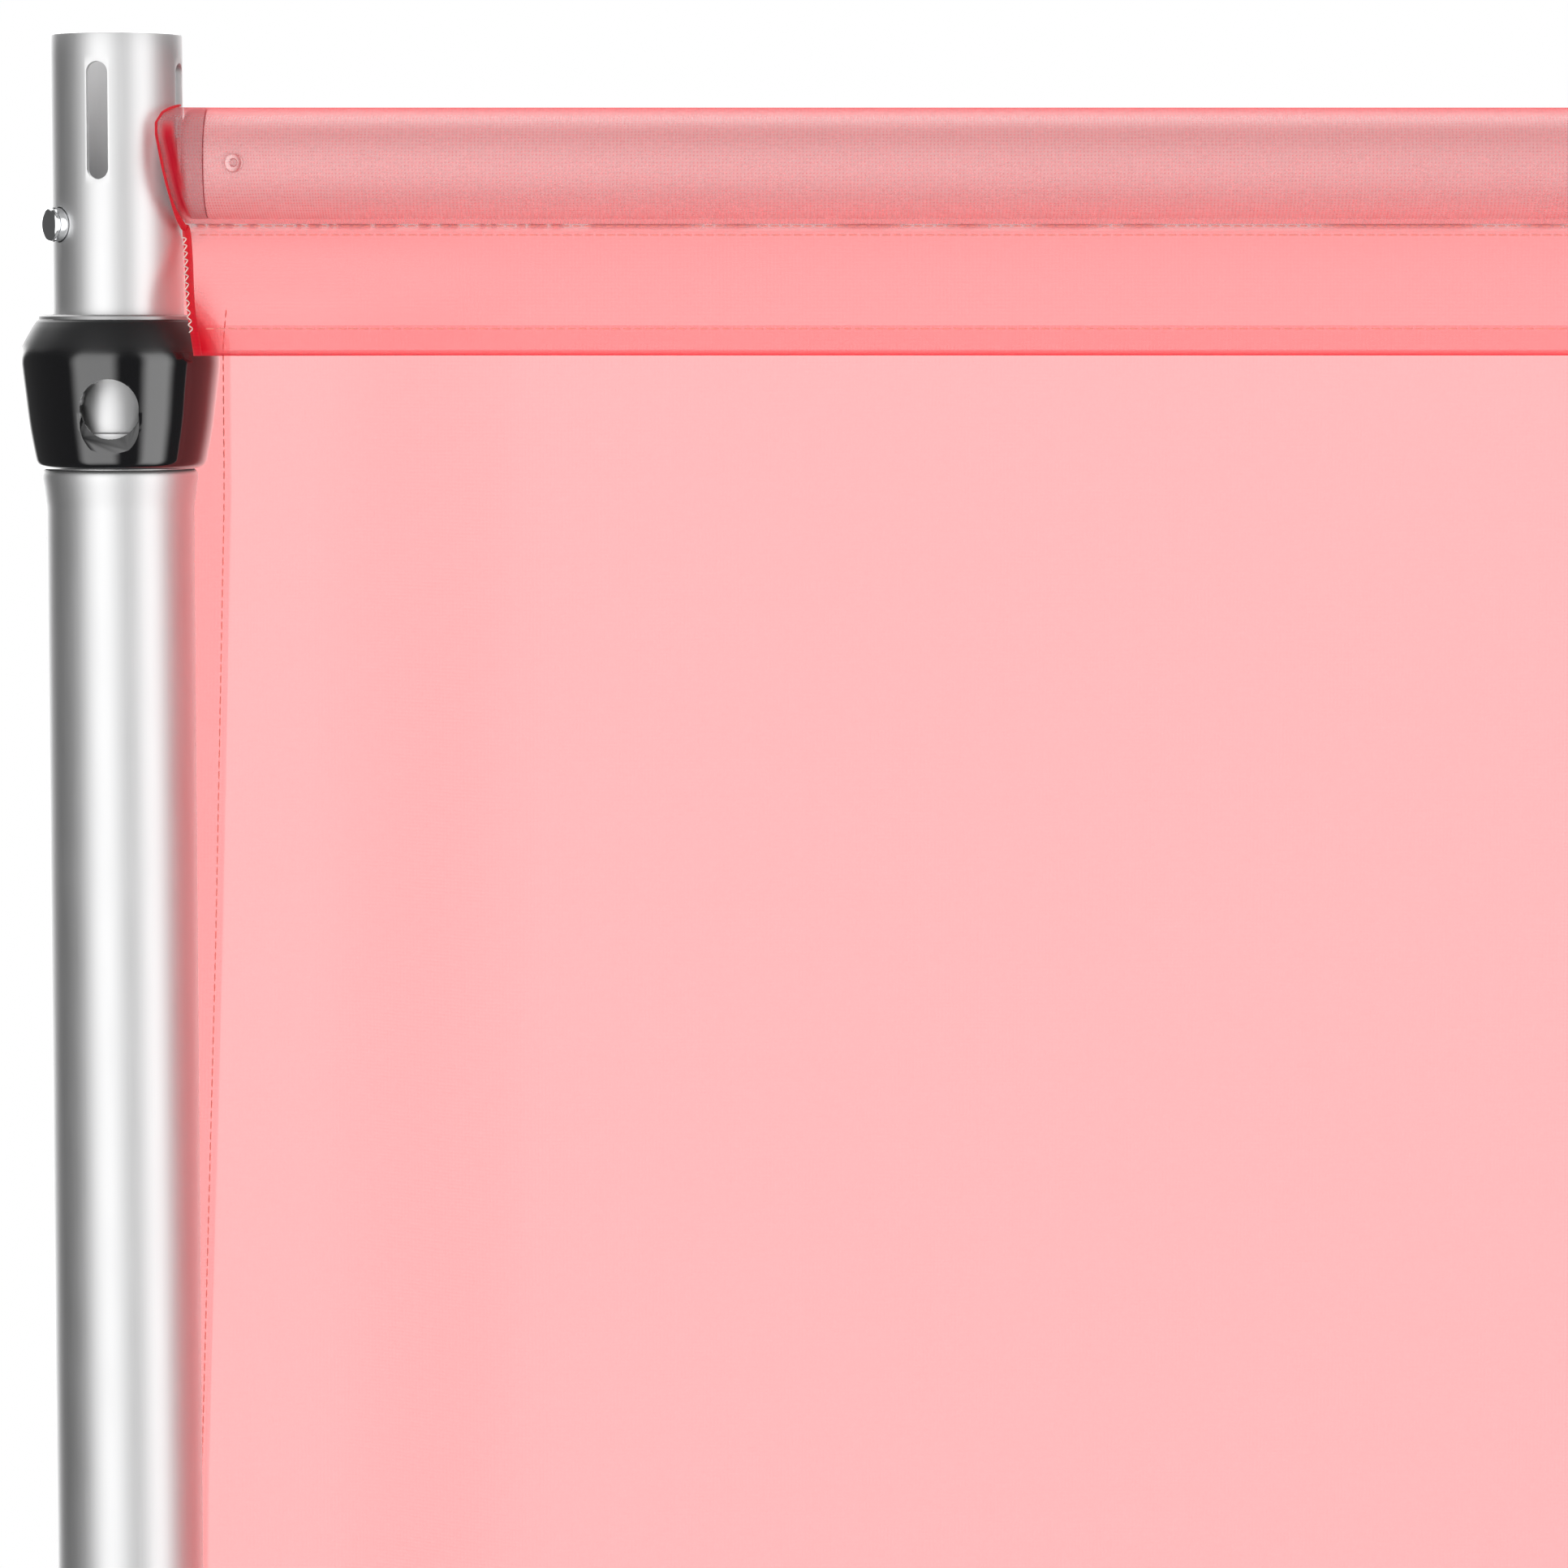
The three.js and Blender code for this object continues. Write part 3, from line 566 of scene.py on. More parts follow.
top = mast_top / MM
radius = mast_radius / MM
inner = radius - WALL
tube_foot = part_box("upper_tube_left")[0].z / MM
rings = [top - 110, top - 66, top - 60, top - 50, top - 43.5, top - 6.5]
upper_tube = turned("upper_tube", [
    (inner, tube_foot), (radius, tube_foot), *[(radius, z) for z in rings],
    (radius, top - 0.5), (radius - 0.15, top - 0.15), (radius - 0.5, top),
    (inner + 0.35, top), (inner + 0.1, top - 0.1), (inner, top - 0.35),
    *[(inner, z) for z in reversed(rings)]])
for k in range(4):
    cut(upper_tube, slot_cutter(SLOT_WIDTH, SLOT_LENGTH, TWIST + 90 * k,
                                top - SLOT_BELOW_TOP - SLOT_LENGTH / 2, inner / 2, radius + 5))
cut(upper_tube, slot_cutter(2 * BUTTON_HOLE, 2 * BUTTON_HOLE + 0.01, TWIST + BUTTON_TURN,
                            top - BUTTON_BELOW_TOP, inner / 2, radius + 5))
softened(upper_tube, 0.25, 2)
pair(upper_tube, "mast", upright_satin, ["upper_tube", "tube_head"])
print("upper tube", len(upper_tube.data.polygons), "faces")

# %% [markdown]
# The lower tube is one size up. Near its top the wall is swaged outwards into a shoulder, which
# the collar rests on, and above the shoulder it runs on up inside the collar.

# %% Lower tube
low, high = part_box("lower_tube_left")
lower_radius = 21.5
lower_inner = lower_radius - WALL
shoulder = collar_low.z / MM - 0.3
swage = [(0, 12), (0.1, 10.5), (0.35, 9), (0.85, 4.8), (1.1, 3.2), (1.15, 2.1), (1.05, 1.4),
         (0.9, 1), (0.6, 0.5), (0.3, 0.2), (0, 0)]
lower_top = high.z / MM
lower_tube = turned("lower_tube", [
    (lower_inner, low.z / MM), (lower_radius, low.z / MM),
    *[(lower_radius + out, shoulder - drop) for out, drop in swage],
    (lower_radius, lower_top - 0.4), (lower_radius - 0.4, lower_top), (lower_inner + 0.3, lower_top),
    (lower_inner, lower_top - 0.3)])
pair(lower_tube, "stand", upright_satin, ["lower_tube"])
print("lower tube shoulder at", round(shoulder, 1), "mm")

# %% [markdown]
# ## The collar
# A moulded collar grips the upper tube. Its outside is a drawn curve, so the outline's points
# are joined by a smooth line rather than straight steps. A window in front shows the thin
# tube inside, and the window's lower end slopes out as a sill. Its rim is rounded, because that
# is where the gloss catches the light.

# %% Collar body


def smooth_line(points, steps=6):
    """A smooth line through points, by Catmull and Rom's rule."""
    line = np.array([points[0], *points, points[-1]], float)
    out = []
    for p0, p1, p2, p3 in zip(line, line[1:], line[2:], line[3:]):
        for t in np.arange(steps) / steps:
            out.append(0.5 * (2 * p1 + (p2 - p0) * t + (2 * p0 - 5 * p1 + 4 * p2 - p3) * t ** 2
                              + (3 * p1 - p0 - 3 * p2 + p3) * t ** 3))
    return [tuple(p) for p in [*out, line[-1]]]


COLLAR_OUTLINE = [(23.6, 0), (24.9, 1.2), (25.7, 4.2), (27.1, 11.8), (28.3, 21.3), (29.15, 28.4),
                  (29.3, 31.0), (28.9, 33.3), (27.4, 36.6), (25.4, 40.2), (23.9, 42.5)]
WINDOW_WIDTH, WINDOW_HEIGHT, WINDOW_CENTRE = 17.1, 22.6, 14.8
SILL, SILL_REACH, SILL_TILT = 5.2, 24.3, 20
ENTRY, THROAT, LEDGE, SEAT_PLAY = 21.8, 19.45, 15.6, 0.3

foot = collar_low.z / MM
collar_height = (collar_high.z - collar_low.z) / MM
outside = [(22.6, 0), *smooth_line(COLLAR_OUTLINE), (23.2, collar_height)]
seat_low, seat_high = (corner.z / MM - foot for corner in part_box("grip_ring_left"))
seat_low, seat_high = seat_low - SEAT_PLAY, seat_high + SEAT_PLAY
seat = reach("grip_ring_left", 0) / MM + SEAT_PLAY
inside = [(THROAT + 0.5, collar_height), (THROAT, collar_height - 0.5), (THROAT, seat_high),
          (seat, seat_high), (seat, seat_low), (THROAT, seat_low), (THROAT, LEDGE + 3),
          (ENTRY, LEDGE), (ENTRY, 0.6), (ENTRY + 0.4, 0)]
print("grip ring's seat", round(seat, 2), round(seat_low, 2), round(seat_high, 2))
collar = turned("collar_body", [(r, foot + z) for r, z in outside + inside], sides=160)
cut(collar, slot_cutter(WINDOW_WIDTH, WINDOW_HEIGHT - SILL, 0, foot + WINDOW_CENTRE + SILL / 2, 8, 40))
ramp = slot_cutter(WINDOW_WIDTH, WINDOW_HEIGHT - 4, 0, foot + WINDOW_CENTRE - 2, SILL_REACH, 40)
hinge = Matrix.Translation((0, -SILL_REACH * MM, (foot + WINDOW_CENTRE - WINDOW_HEIGHT / 2 + SILL) * MM))
ramp.matrix_world = hinge @ Matrix.Rotation(math.radians(-SILL_TILT), 4, "X") @ hinge.inverted()
cut(collar, ramp)
softened(collar, 0.7, 4)
pair(collar, "collar", gloss_black.owner, ["collar_body"])
print("collar", round(collar_height, 1), "mm high,", len(collar.data.polygons), "faces")

# %% Collar ring
ring_low, ring_high = (corner.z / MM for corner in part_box("collar_ring_left"))
ring_radius = reach("collar_ring_left", 0) / MM
ring = turned("collar_ring", [
    (radius + 0.3, ring_low), (ring_radius, ring_low), (ring_radius, ring_high - 0.5),
    (ring_radius - 0.5, ring_high), (radius + 0.6, ring_high), (radius + 0.3, ring_high - 0.3)])
pair(ring, "collar", dull_ring, ["collar_ring"])

# %% [markdown]
# ## The snap button
# A spring pushes a chromed button out through the hole. Its face is slightly crowned with a
# bevelled rim, and a dark groove runs round its side.

# %% Snap button
BUTTON_RADIUS, BUTTON_FACE, BUTTON_PROUD, FLANGE = 4.9, 4.2, 4.0, 6.0
face = radius + BUTTON_PROUD
flange_top = math.sqrt(inner ** 2 - FLANGE ** 2) - 0.3
button = turned("snap_button", [
    (0.4, face), (1.6, face - 0.03), (3.0, face - 0.12), (BUTTON_FACE, face - 0.3),
    (BUTTON_RADIUS - 0.2, face - 0.62),
    (BUTTON_RADIUS, face - 0.9), (BUTTON_RADIUS, face - 1.4), (BUTTON_RADIUS - 0.5, face - 1.6),
    (BUTTON_RADIUS - 0.5, face - 2.1), (BUTTON_RADIUS, face - 2.3), (BUTTON_RADIUS, flange_top),
    (FLANGE, flange_top), (FLANGE, flange_top - 1.2), (0.4, flange_top - 1.2)], sides=64, hollow=False)
laid(button, (0, 0, (top - BUTTON_BELOW_TOP) * MM), facing(TWIST + BUTTON_TURN))
pair(button, "button", chrome, ["snap_button"])

# %% [markdown]
# ## The crossbar
# The wide tube starts at a nylon end plug by the left upright and ends past the middle, where
# the thin tube slides in through a bushing. Both are turned standing up, then laid along X.
# %% Crossbar tubes
BAR_WALL, SLIDE_WALL, PLAY = 1.6, 1.5, 0.3


def lengthwise(node, name, wall, body, finish):
    """A tube laid along X in the place of a node."""
    start, end = (corner.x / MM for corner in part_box(node))
    outer = reach(node, 1) / MM
    bore = outer - wall
    length = end - start
    piece = turned(name, [(bore + 0.2, 0), (outer - 0.3, 0), (outer, 0.3), (outer, length - 0.3),
                          (outer - 0.3, length), (bore + 0.2, length), (bore, length - 0.2), (bore, 0.2)])
    laid(piece, (start * MM, bar_y, bar_z), (1, 0, 0))
    kept(tidy(piece), body, finish, [node])


lengthwise("crossbar_tube", "crossbar_tube_fine", BAR_WALL, "mast_left", crossbar_satin)
lengthwise("slide_tube", "slide_tube_fine", SLIDE_WALL, "mast_right", crossbar_satin)

# %% Bushing
SLEEVE_WALL, LIP = 1.0, 2.7
bush_low, bush_high = (corner.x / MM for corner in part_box("mouth_bushing"))
bar = bar_radius / MM
bore = bar - BAR_WALL - PLAY - SLEEVE_WALL
sleeve_end = bush_high - bush_low - LIP
bushing = turned("mouth_bushing_fine", [
    (bore, 0.3), (bore + 0.3, 0), (bore + 0.8, 0), (bore + SLEEVE_WALL, 0.3),
    (bore + SLEEVE_WALL, sleeve_end), (bar, sleeve_end), (bar, sleeve_end + 1.9),
    (bar - 0.8, sleeve_end + LIP), (bore + 0.4, sleeve_end + LIP), (bore, sleeve_end + 2.3)])
laid(bushing, (bush_low * MM, bar_y, bar_z), (1, 0, 0))
kept(tidy(bushing), "mast_left", nylon, ["mouth_bushing"])

# %% [markdown]
# Each end plug has a rounded shoulder as wide as its tube, and a slot that the flat hook passes
# through. The plugs differ in size, one for each tube, so they are made in turn rather than
# mirrored. A rivet through the tube holds plug and hook together.

# %% End plugs and rivets
BLADE_THICK, BLADE_HEIGHT, BLADE_PLAY, SHOULDER, SHOULDER_ROUND = 4.5, 15, 0.6, 6.6, 2.4


def box_cutter(size, place):
    """A box round a place, to cut with, both in metres."""
    clear_selection()
    bpy.ops.mesh.primitive_cube_add(size=1, location=place, scale=size)
    cutter = bpy.context.object
    bpy.ops.object.transform_apply(location=True, scale=True)
    return cutter


for side, hand, outer, wall in (("left", 1, bar, BAR_WALL), ("right", -1, slide_radius / MM, SLIDE_WALL)):
    low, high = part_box(f"hook_plug_{side}")
    start = low.x if hand > 0 else high.x
    length = (high.x - low.x) / MM
    spigot = outer - wall - PLAY
    round_in = [(outer - SHOULDER_ROUND * (1 - math.sin(a)), SHOULDER_ROUND * (1 - math.cos(a)))
                for a in np.linspace(0, math.pi / 2, 7)]
    plug = turned(f"hook_plug_fine_{side}", [
        (2, 0), *round_in, (outer, SHOULDER - 0.3), (spigot, SHOULDER - 0.3),
        (spigot, length - 0.5), (spigot - 0.5, length), (2, length)],
        hollow=False)
    laid(plug, (start, bar_y, bar_z), (hand, 0, 0))
    blade = [(size + BLADE_PLAY) * MM for size in (BLADE_THICK, BLADE_HEIGHT)]
    cut(plug, box_cutter((0.2, *blade), (start, bar_y, bar_z)))
    kept(tidy(plug), f"mast_{side}", pale_nylon, [f"hook_plug_{side}"])
    seat = outer + 0.3
    rivet = turned(f"hook_rivet_fine_{side}", [
        (1.05, seat - 3.5), (1.05, seat + 0.35), (1.25, seat + 0.5), (2.2, seat + 0.5), (2.6, seat + 0.3),
        (2.75, seat), (2.0, seat), (2.0, -seat), (2.75, -seat), (2.6, -seat - 0.35), (1.6, -seat - 0.5),
        (0.3, -seat - 0.5)], sides=48, hollow=False)
    laid(rivet, (middle(f"hook_rivet_{side}", 0), bar_y, bar_z), (0, -1, 0))
    kept(tidy(rivet), f"mast_{side}", nickel, [f"hook_rivet_{side}"])
print("two end plugs and two rivets")

# %% [markdown]
# ## The bases
# Each base is a plate of black powder-coated steel on four rubber feet, with a hand slot to
# carry it by. It starts as a flat square whose corners are rounded, is pulled up to its
# thickness, and has its edges broken.

# %% Base plates and feet
PLATE_CORNER, HAND_WIDTH, HAND_LENGTH, HAND_INSET = 24, 32, 110, 46
FOOT_HOLE, BOLT_HOLE, BOLT_SINK = 3.3, 5.3, 10.3
low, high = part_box("base_plate_left")
clear_selection()
bpy.ops.mesh.primitive_plane_add(size=1, location=(0, 0, low.z), scale=(1, 1, 1))
plate = bpy.context.object
plate.name = "base_plate_fine"
plate.scale = (high.x - low.x, high.y - low.y, 1)
bpy.ops.object.transform_apply(location=True, scale=True)
edit_all()
bpy.ops.mesh.bevel(offset=PLATE_CORNER * MM, segments=12, affect="VERTICES")
bpy.ops.mesh.select_all(action="SELECT")
pull_up(high.z - low.z)
face_out()
hand = slot_cutter(HAND_WIDTH, HAND_LENGTH, 0, 0, -20, 20)
hand.rotation_euler = (math.radians(90), 0, 0)
hand.location.x = (low.x - high.x) / 2 + HAND_INSET * MM
cut(plate, hand)
foot_low, foot_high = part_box("foot_1_left")
foot_x, foot_y = middle("foot_1_left", 0) - mast_x, middle("foot_1_left", 1)
holes = [(i * foot_x, j * foot_y, FOOT_HOLE, 32) for i in (1, -1) for j in (1, -1)]
for x, y, hole, sides in [*holes, (0, 0, BOLT_HOLE, 48)]:
    clear_selection()
    bpy.ops.mesh.primitive_cylinder_add(vertices=sides, radius=hole * MM, depth=0.05, location=(x, y, low.z))
    cut(plate, bpy.context.object)
sink = turned("sink", [(BOLT_SINK, -5), (BOLT_SINK, 0.6), (BOLT_HOLE, 5.5)], sides=48, hollow=False)
cut(plate, laid(sink, (0, 0, low.z)))
softened(plate, 0.8, 3)
pair(plate, "stand", powder, ["base_plate"])
print("base plate", len(plate.data.polygons), "faces")

foot_radius = (foot_high.x - foot_low.x) / 2 / MM
foot_model = turned("foot", [
    (2, 0.3), (foot_radius - 2.5, 0), (foot_radius - 0.8, 0.25), (foot_radius, 1.2), (foot_radius - 0.2, 3.4),
    (foot_radius - 0.5, 4.4), (foot_radius - 0.9, 4.7), (3, 4.7), (3, foot_high.z / MM),
    (2.2, foot_high.z / MM)],
    sides=48, hollow=False)
for side in SIDES:
    for number in (1, 2, 3, 4):
        node = f"foot_{number}_{side}"
        copy = bpy.data.objects.new(f"foot_fine_{number}_{side}", foot_model.data.copy())
        scene.collection.objects.link(copy)
        laid(copy, (middle(node, 0), middle(node, 1), 0))
        kept(tidy(copy), f"stand_{side}", rubber, [node])
bpy.data.objects.remove(foot_model)

# %% [markdown]
# ## Pieces that keep their engineering shape
# The hooks, springs, bolts, pins and the parts hidden in the tubes are already right, so they
# only get a finish.

# %% Finishes for the kept nodes
KEPT = {"grip_ring": nylon, "tube_foot": nylon, "button_spring": zinc, "hook": zinc, "base_pin": zinc,
        "base_bolt": zinc}


def refinish(node, finish):
    slots = frame["nodes"][node].data.materials
    slots.clear()
    slots.append(finish)


for side in SIDES:
    for name, finish in KEPT.items():
        refinish(f"{name}_{side}", finish)
refinish("slide_plug", nylon)

# %% [markdown]
# ## Sheer cloth
# Voile is a loose plain weave: about a third of what lies behind shows between its threads. So the
# material mixes a clear shader with a coloured one by how much the threads cover. The threads
# let most light through, in coral, and reflect a little, in a deep red, which is why the cloth
# glows before a white wall and turns crimson before something black. Where it lies double, the
# cover builds up by itself, layer on layer. An attribute on the points says where one surface
# stands for several layers, as in a rolled edge, and where shade is painted into the cloth: more of
# it gives more cover and a deeper, darker red, which paints the shade in the crease beside the
# pocket's front edge and at the flap's lower corners. The weave runs by the cloth's own map, which
# is in metres of cloth, so it stays square to the cloth however it is folded.

# %% Voile
COVER, THROUGH_SHARE = 0.66, 0.66
GLOWING, GLOWING_FOLD_AND_SHADE = (1.0, 0.25, 0.245), (0.95, 0.04, 0.08)
FACING, FACING_FOLD_AND_SHADE = (0.88, 0.02, 0.07), (0.75, 0.005, 0.03)
THREAD_PITCH = 1.05 * MM
TURN = 2 * math.pi


def voile(name, cover):
    finish = material(name)
    chart = finish.node("ShaderNodeUVMap", {"uv_map": "cloth"})
    weft, warp = finish.split(chart)[:2]
    plies = finish.node("ShaderNodeAttribute", {"attribute_name": "plies"}, output="Fac")
    wander = finish.noise(chart, 90, 2)
    threads = (((weft + wander * 0.0006) * (TURN / THREAD_PITCH)).sine()
               + ((warp + wander * 0.0006) * (TURN / THREAD_PITCH)).sine()) * 0.25 + 0.5
    slub = finish.noise(finish.node("ShaderNodeMapping", {}, {"Vector": chart, "Scale": (1, 14, 1)}), 160, 3)
    open_share = 1 - (threads * 0.07 + slub * 0.06 + (cover - 0.065))
    covered = 1 - open_share ** plies
    # More plies turn the colour a deeper, darker red: the real depth of rolls and folds, and painted shade
    # where plies are raised for it.
    folded_and_shaded = plies.step(1, 4.5)
    front_colour = finish.colours(folded_and_shaded, painted(FACING), painted(FACING_FOLD_AND_SHADE))
    through_colour = finish.colours(slub, painted([c * 0.96 for c in GLOWING]), painted(GLOWING))
    through_colour = finish.colours(folded_and_shaded, through_colour, painted(GLOWING_FOLD_AND_SHADE))
    relief = finish.bump(threads, 0.00005, 0.6)
    front = finish.node("ShaderNodeBsdfDiffuse", {},
                        {"Color": front_colour, "Roughness": 0.6, "Normal": relief})
    through = finish.node("ShaderNodeBsdfTranslucent", {}, {"Color": through_colour, "Normal": relief})
    thread = finish.node("ShaderNodeMixShader", {}, {0: THROUGH_SHARE, 1: front, 2: through})
    clear = finish.node("ShaderNodeBsdfTransparent", {}, {"Color": painted((1, 1, 1))})
    return finished(finish, finish.node("ShaderNodeMixShader", {}, {0: covered, 1: clear, 2: thread}))


coral_voile = voile("coral_voile", COVER)

# %% [markdown]
# ## How the drape hangs
# The drape is one flat piece of voile. Its panel hangs behind the uprights. Its top goes over
# the crossbar, is sewn below it to make the rod pocket, and falls in front as a short flap with
# a hem. A cloth simulation would settle it, but a stretched, flat drape has almost nothing to
# settle, and a grid laid out in code keeps the hems and the seam exact. The grid has one row
# for each step along the cut from the panel's bottom hem to the flap's hem, and one column for
# each step across, closer together at the ends, where the cloth swings round the uprights.

# %% The sizes of the drape, in millimetres
POCKET_WIDE, POCKET_TALL, POCKET_DROP = 17.2, 16.8, 0.5
FLAP_BOTTOM, FLAP_HEM = 1431.2, 8.7
PANEL_BOTTOM, PANEL_HEM, SIDE_HEM = 26.0, 30.0, 20.0
EDGE, SEAM_EDGE = 4.0, 20.3
NEAR, FAR, FREE = 52.0, 125.0, 64.0
PANEL_BACK, FLAP_FRONT = 31.8, -21.0
PLY_GAP = 0.55
HEM_NARROWS = (1434, 1456)

span = -2 * mast_x / MM
half_span = span / 2
bar_y_mm, bar_z_mm = bar_y / MM, bar_z / MM
pocket_z = bar_z_mm - POCKET_DROP
seam_z = pocket_z - POCKET_TALL


def ease(value, start, end):
    """0 before start, 1 after end, and a smooth rise between them."""
    share = np.clip((value - start) / (end - start), 0, 1)
    return share * share * (3 - 2 * share)


close = np.arange(EDGE, FAR + 15, 1.6)
columns = np.concatenate([close, np.linspace(close[-1], span - close[-1], 150)[1:-1], (span - close)[::-1]])
column_reach = np.minimum(columns, span - columns)
print(len(columns), "columns; seam at z", round(seam_z, 1))

# %% [markdown]
# At its ends the pocket meets the uprights. The front of the pocket rides over the tube a
# little, standing off from it, so its edge bows towards the upright at half height and stands
# back at the top and at the seam. Below the seam the flap's edge slants away from the upright,
# and the panel's edge slides behind it. The angle round the pocket starts below it, passes the
# back at 0 and the top at 90, and comes down the front.

# %% Where the cloth's edges lie
POCKET_EDGE = ((-90, 20.3), (-45, 17.7), (0, 14.6), (30, 16.2), (60, 19.0), (75, 19.5), (90, 19.8),
               (105, 18.0), (120, 15.2), (135, 13.5), (150, 13.5), (180, 15.3), (210, 17.2), (240, 18.9),
               (270, 20.3))
RIDES_OVER = ((88, 0), (95, 2.6), (105, 4.0), (120, 4.8), (135, 2.8), (150, 0.6), (165, 0))
FLAP_EDGE = ((FLAP_BOTTOM, 25.4), (1444, 23.6), (1456, 22.2), (seam_z, 20.3))
PANEL_EDGE_AT, PANEL_EDGE = (900, 1090, 1250, 1390), (-2.0, 0.0, 5.5, 9.3)
GAPE_SUNK = 1.1


def along_edge(table, at):
    places, reaches = zip(*table)
    return np.interp(at, places, reaches)


def from_edge(edge):
    """The columns squeezed together near both ends, so that the first one lies at a given edge."""
    squeezed = edge + (column_reach - EDGE) * (FREE - edge) / (FREE - EDGE)
    near = np.where(column_reach < FREE, squeezed, column_reach)
    return np.where(columns < half_span, near, span - near)


def from_end(x):
    """How far places across the drape are from the nearer upright's axis."""
    return np.minimum(x, span - x)


def points(x, y, z):
    """Points in metres from millimetres, with x measured from the left upright's axis."""
    return np.stack(np.broadcast_arrays(x - half_span, y, z), 1) * MM


def panel_depth(x, z):
    """The panel swings back near its ends to pass behind the uprights, and waves a little lower down."""
    near_end = from_end(x)
    swing = (1 - ease(near_end, NEAR, FAR)) * ease(seam_z - z, 0, 25)
    size = (0.1 + 2.6 * (1 - z / seam_z) ** 1.4) * ease(near_end, 40, 170)
    wave = np.sin(x / 47 + 0.8 * math.sin(z / 310)) + 0.6 * np.sin(x / 21.5 + 2 + z / 900)
    start = bar_y_mm + 0.3
    return start + (PANEL_BACK - start) * swing + size * wave


def panel_edge(z):
    """The panel's edge runs out a little as it hangs, and runs in below the seam to pass the upright."""
    return np.interp(z, PANEL_EDGE_AT, PANEL_EDGE) + (SEAM_EDGE - PANEL_EDGE[-1]) * ease(z, 1440, seam_z)


def panel_row(z, back=0.0):
    x = from_edge(panel_edge(z))
    return points(x, panel_depth(x, z) + back, z)


def flap_row(z, back=0.0):
    """The flap swings forward near its ends to pass in front of the uprights."""
    x = from_edge(along_edge(FLAP_EDGE, z))
    swing = (1 - ease(from_end(x), 30, 110)) * ease(seam_z - z, 0, 26)
    start = bar_y_mm - 0.5 - 1.4 * ease(seam_z - z, 0, 38)
    return points(x, start + (FLAP_FRONT - start) * swing + back, z)


def gape(angle, x):
    """The fold beside the pocket's front edge: 1 along its middle, 0 outside it."""
    edge = along_edge(POCKET_EDGE, angle)
    inwards = from_end(x) - edge
    wide = 4.2 - 2.9 * ease(angle, 165, 262)
    middle_line = 1.0 + wide / 2
    across = np.clip(1 - np.abs(inwards - middle_line) / (wide / 2), 0, 1)
    return ease(across, 0, 0.7) * ease(angle, 128, 146) * (1 - ease(angle, 250, 268))


def pocket_row(angle):
    x = from_edge(along_edge(POCKET_EDGE, angle))
    sunk = GAPE_SUNK * gape(angle, x)
    turn = math.radians(angle)
    over = along_edge(RIDES_OVER, angle) * np.exp(-(from_end(x) - SEAM_EDGE).clip(0) / 9)
    y = bar_y_mm + (POCKET_WIDE - sunk) * math.cos(turn) - over
    return points(x, y, pocket_z + (POCKET_TALL - sunk) * math.sin(turn))


# %% [markdown]
# ## Laying the rows
# Each row is one line of points across the drape. Rows that follow each other are joined by
# faces. A hem is the same cloth turned back on itself, so its rows simply run back behind the
# ones before it, a ply's thickness away. The side hems are narrow grids of their own that start
# on the panel's edges.

# %% The drape's grid
hem_rows = [panel_row(z, PLY_GAP) for z in np.arange(PANEL_BOTTOM + PANEL_HEM, PANEL_BOTTOM, -6)]
panel_heights = np.concatenate([np.arange(PANEL_BOTTOM, 1390, 11), np.linspace(1390, seam_z, 34)[:-1]])
angles = np.linspace(-90, 270, 73)
flap_heights = np.linspace(seam_z, FLAP_BOTTOM, 22)[1:]
turn_up = [flap_row(z, PLY_GAP) for z in FLAP_BOTTOM + np.linspace(0.4, FLAP_HEM, 6)]
rows = np.array([*hem_rows, *[panel_row(z) for z in panel_heights], *[pocket_row(a) for a in angles],
                 *[flap_row(z) for z in flap_heights], *turn_up])
steps = np.linalg.norm(np.diff(rows[:, len(columns) // 2], axis=0), axis=1)
walk = np.concatenate([[0], np.cumsum(steps)])
first_pocket_row = len(hem_rows) + len(panel_heights)
print("cut length", round(walk[-1], 3), "m")


class Cloth:
    """Grids of points gathered into one mesh, with the cloth's own map and its count of plies, which in
    places is raised to paint shade.
    """

    def __init__(self):
        self.points, self.faces, self.chart, self.plies = [], [], [], []

    def add(self, rows, across, along, plies):
        """Rows of points, with their places across and along the cut in metres."""
        rows = np.asarray(rows)
        count, width = rows.shape[:2]
        start = len(self.points)
        self.points.extend(rows.reshape(-1, 3))
        chart = np.broadcast_arrays(np.asarray(across)[None, :], np.asarray(along)[:, None])
        self.chart.extend(np.stack(chart, 2).reshape(-1, 2))
        self.plies.extend(np.broadcast_to(plies, (count, width)).reshape(-1))
        for i in range(count - 1):
            for j in range(width - 1):
                a = start + i * width + j
                self.faces.append((a, a + 1, a + width + 1, a + width))

    def mesh(self, name):
        piece = from_points(name, self.points, self.faces)
        data = piece.data
        chart = data.uv_layers.new(name="cloth")
        corners = [self.chart[loop.vertex_index] for loop in data.loops]
        chart.data.foreach_set("uv", np.array(corners, np.float32).ravel())
        plies = data.attributes.new("plies", "FLOAT", "POINT")
        plies.data.foreach_set("value", np.array(self.plies, np.float32))
        choose(piece)
        edit_all()
        bpy.ops.mesh.remove_doubles(threshold=0.02 * MM)
        bpy.ops.object.mode_set(mode="OBJECT")
        bpy.ops.object.shade_smooth()
        return piece


NESTED, NESTED_ON_BAR = 0.3, 0.5
GAPE_PAINTED_SHADE, CORNER_PLIES_AND_SHADE, FOLD_PLIES, ROLL_PLIES = 3.5, 4.5, 2.4, 1.5
CORNER_WIDE, CORNER_TALL = 7.0, 11.2
cloth = Cloth()
plies = np.ones(rows.shape[:2])
flap_start = first_pocket_row + len(angles)
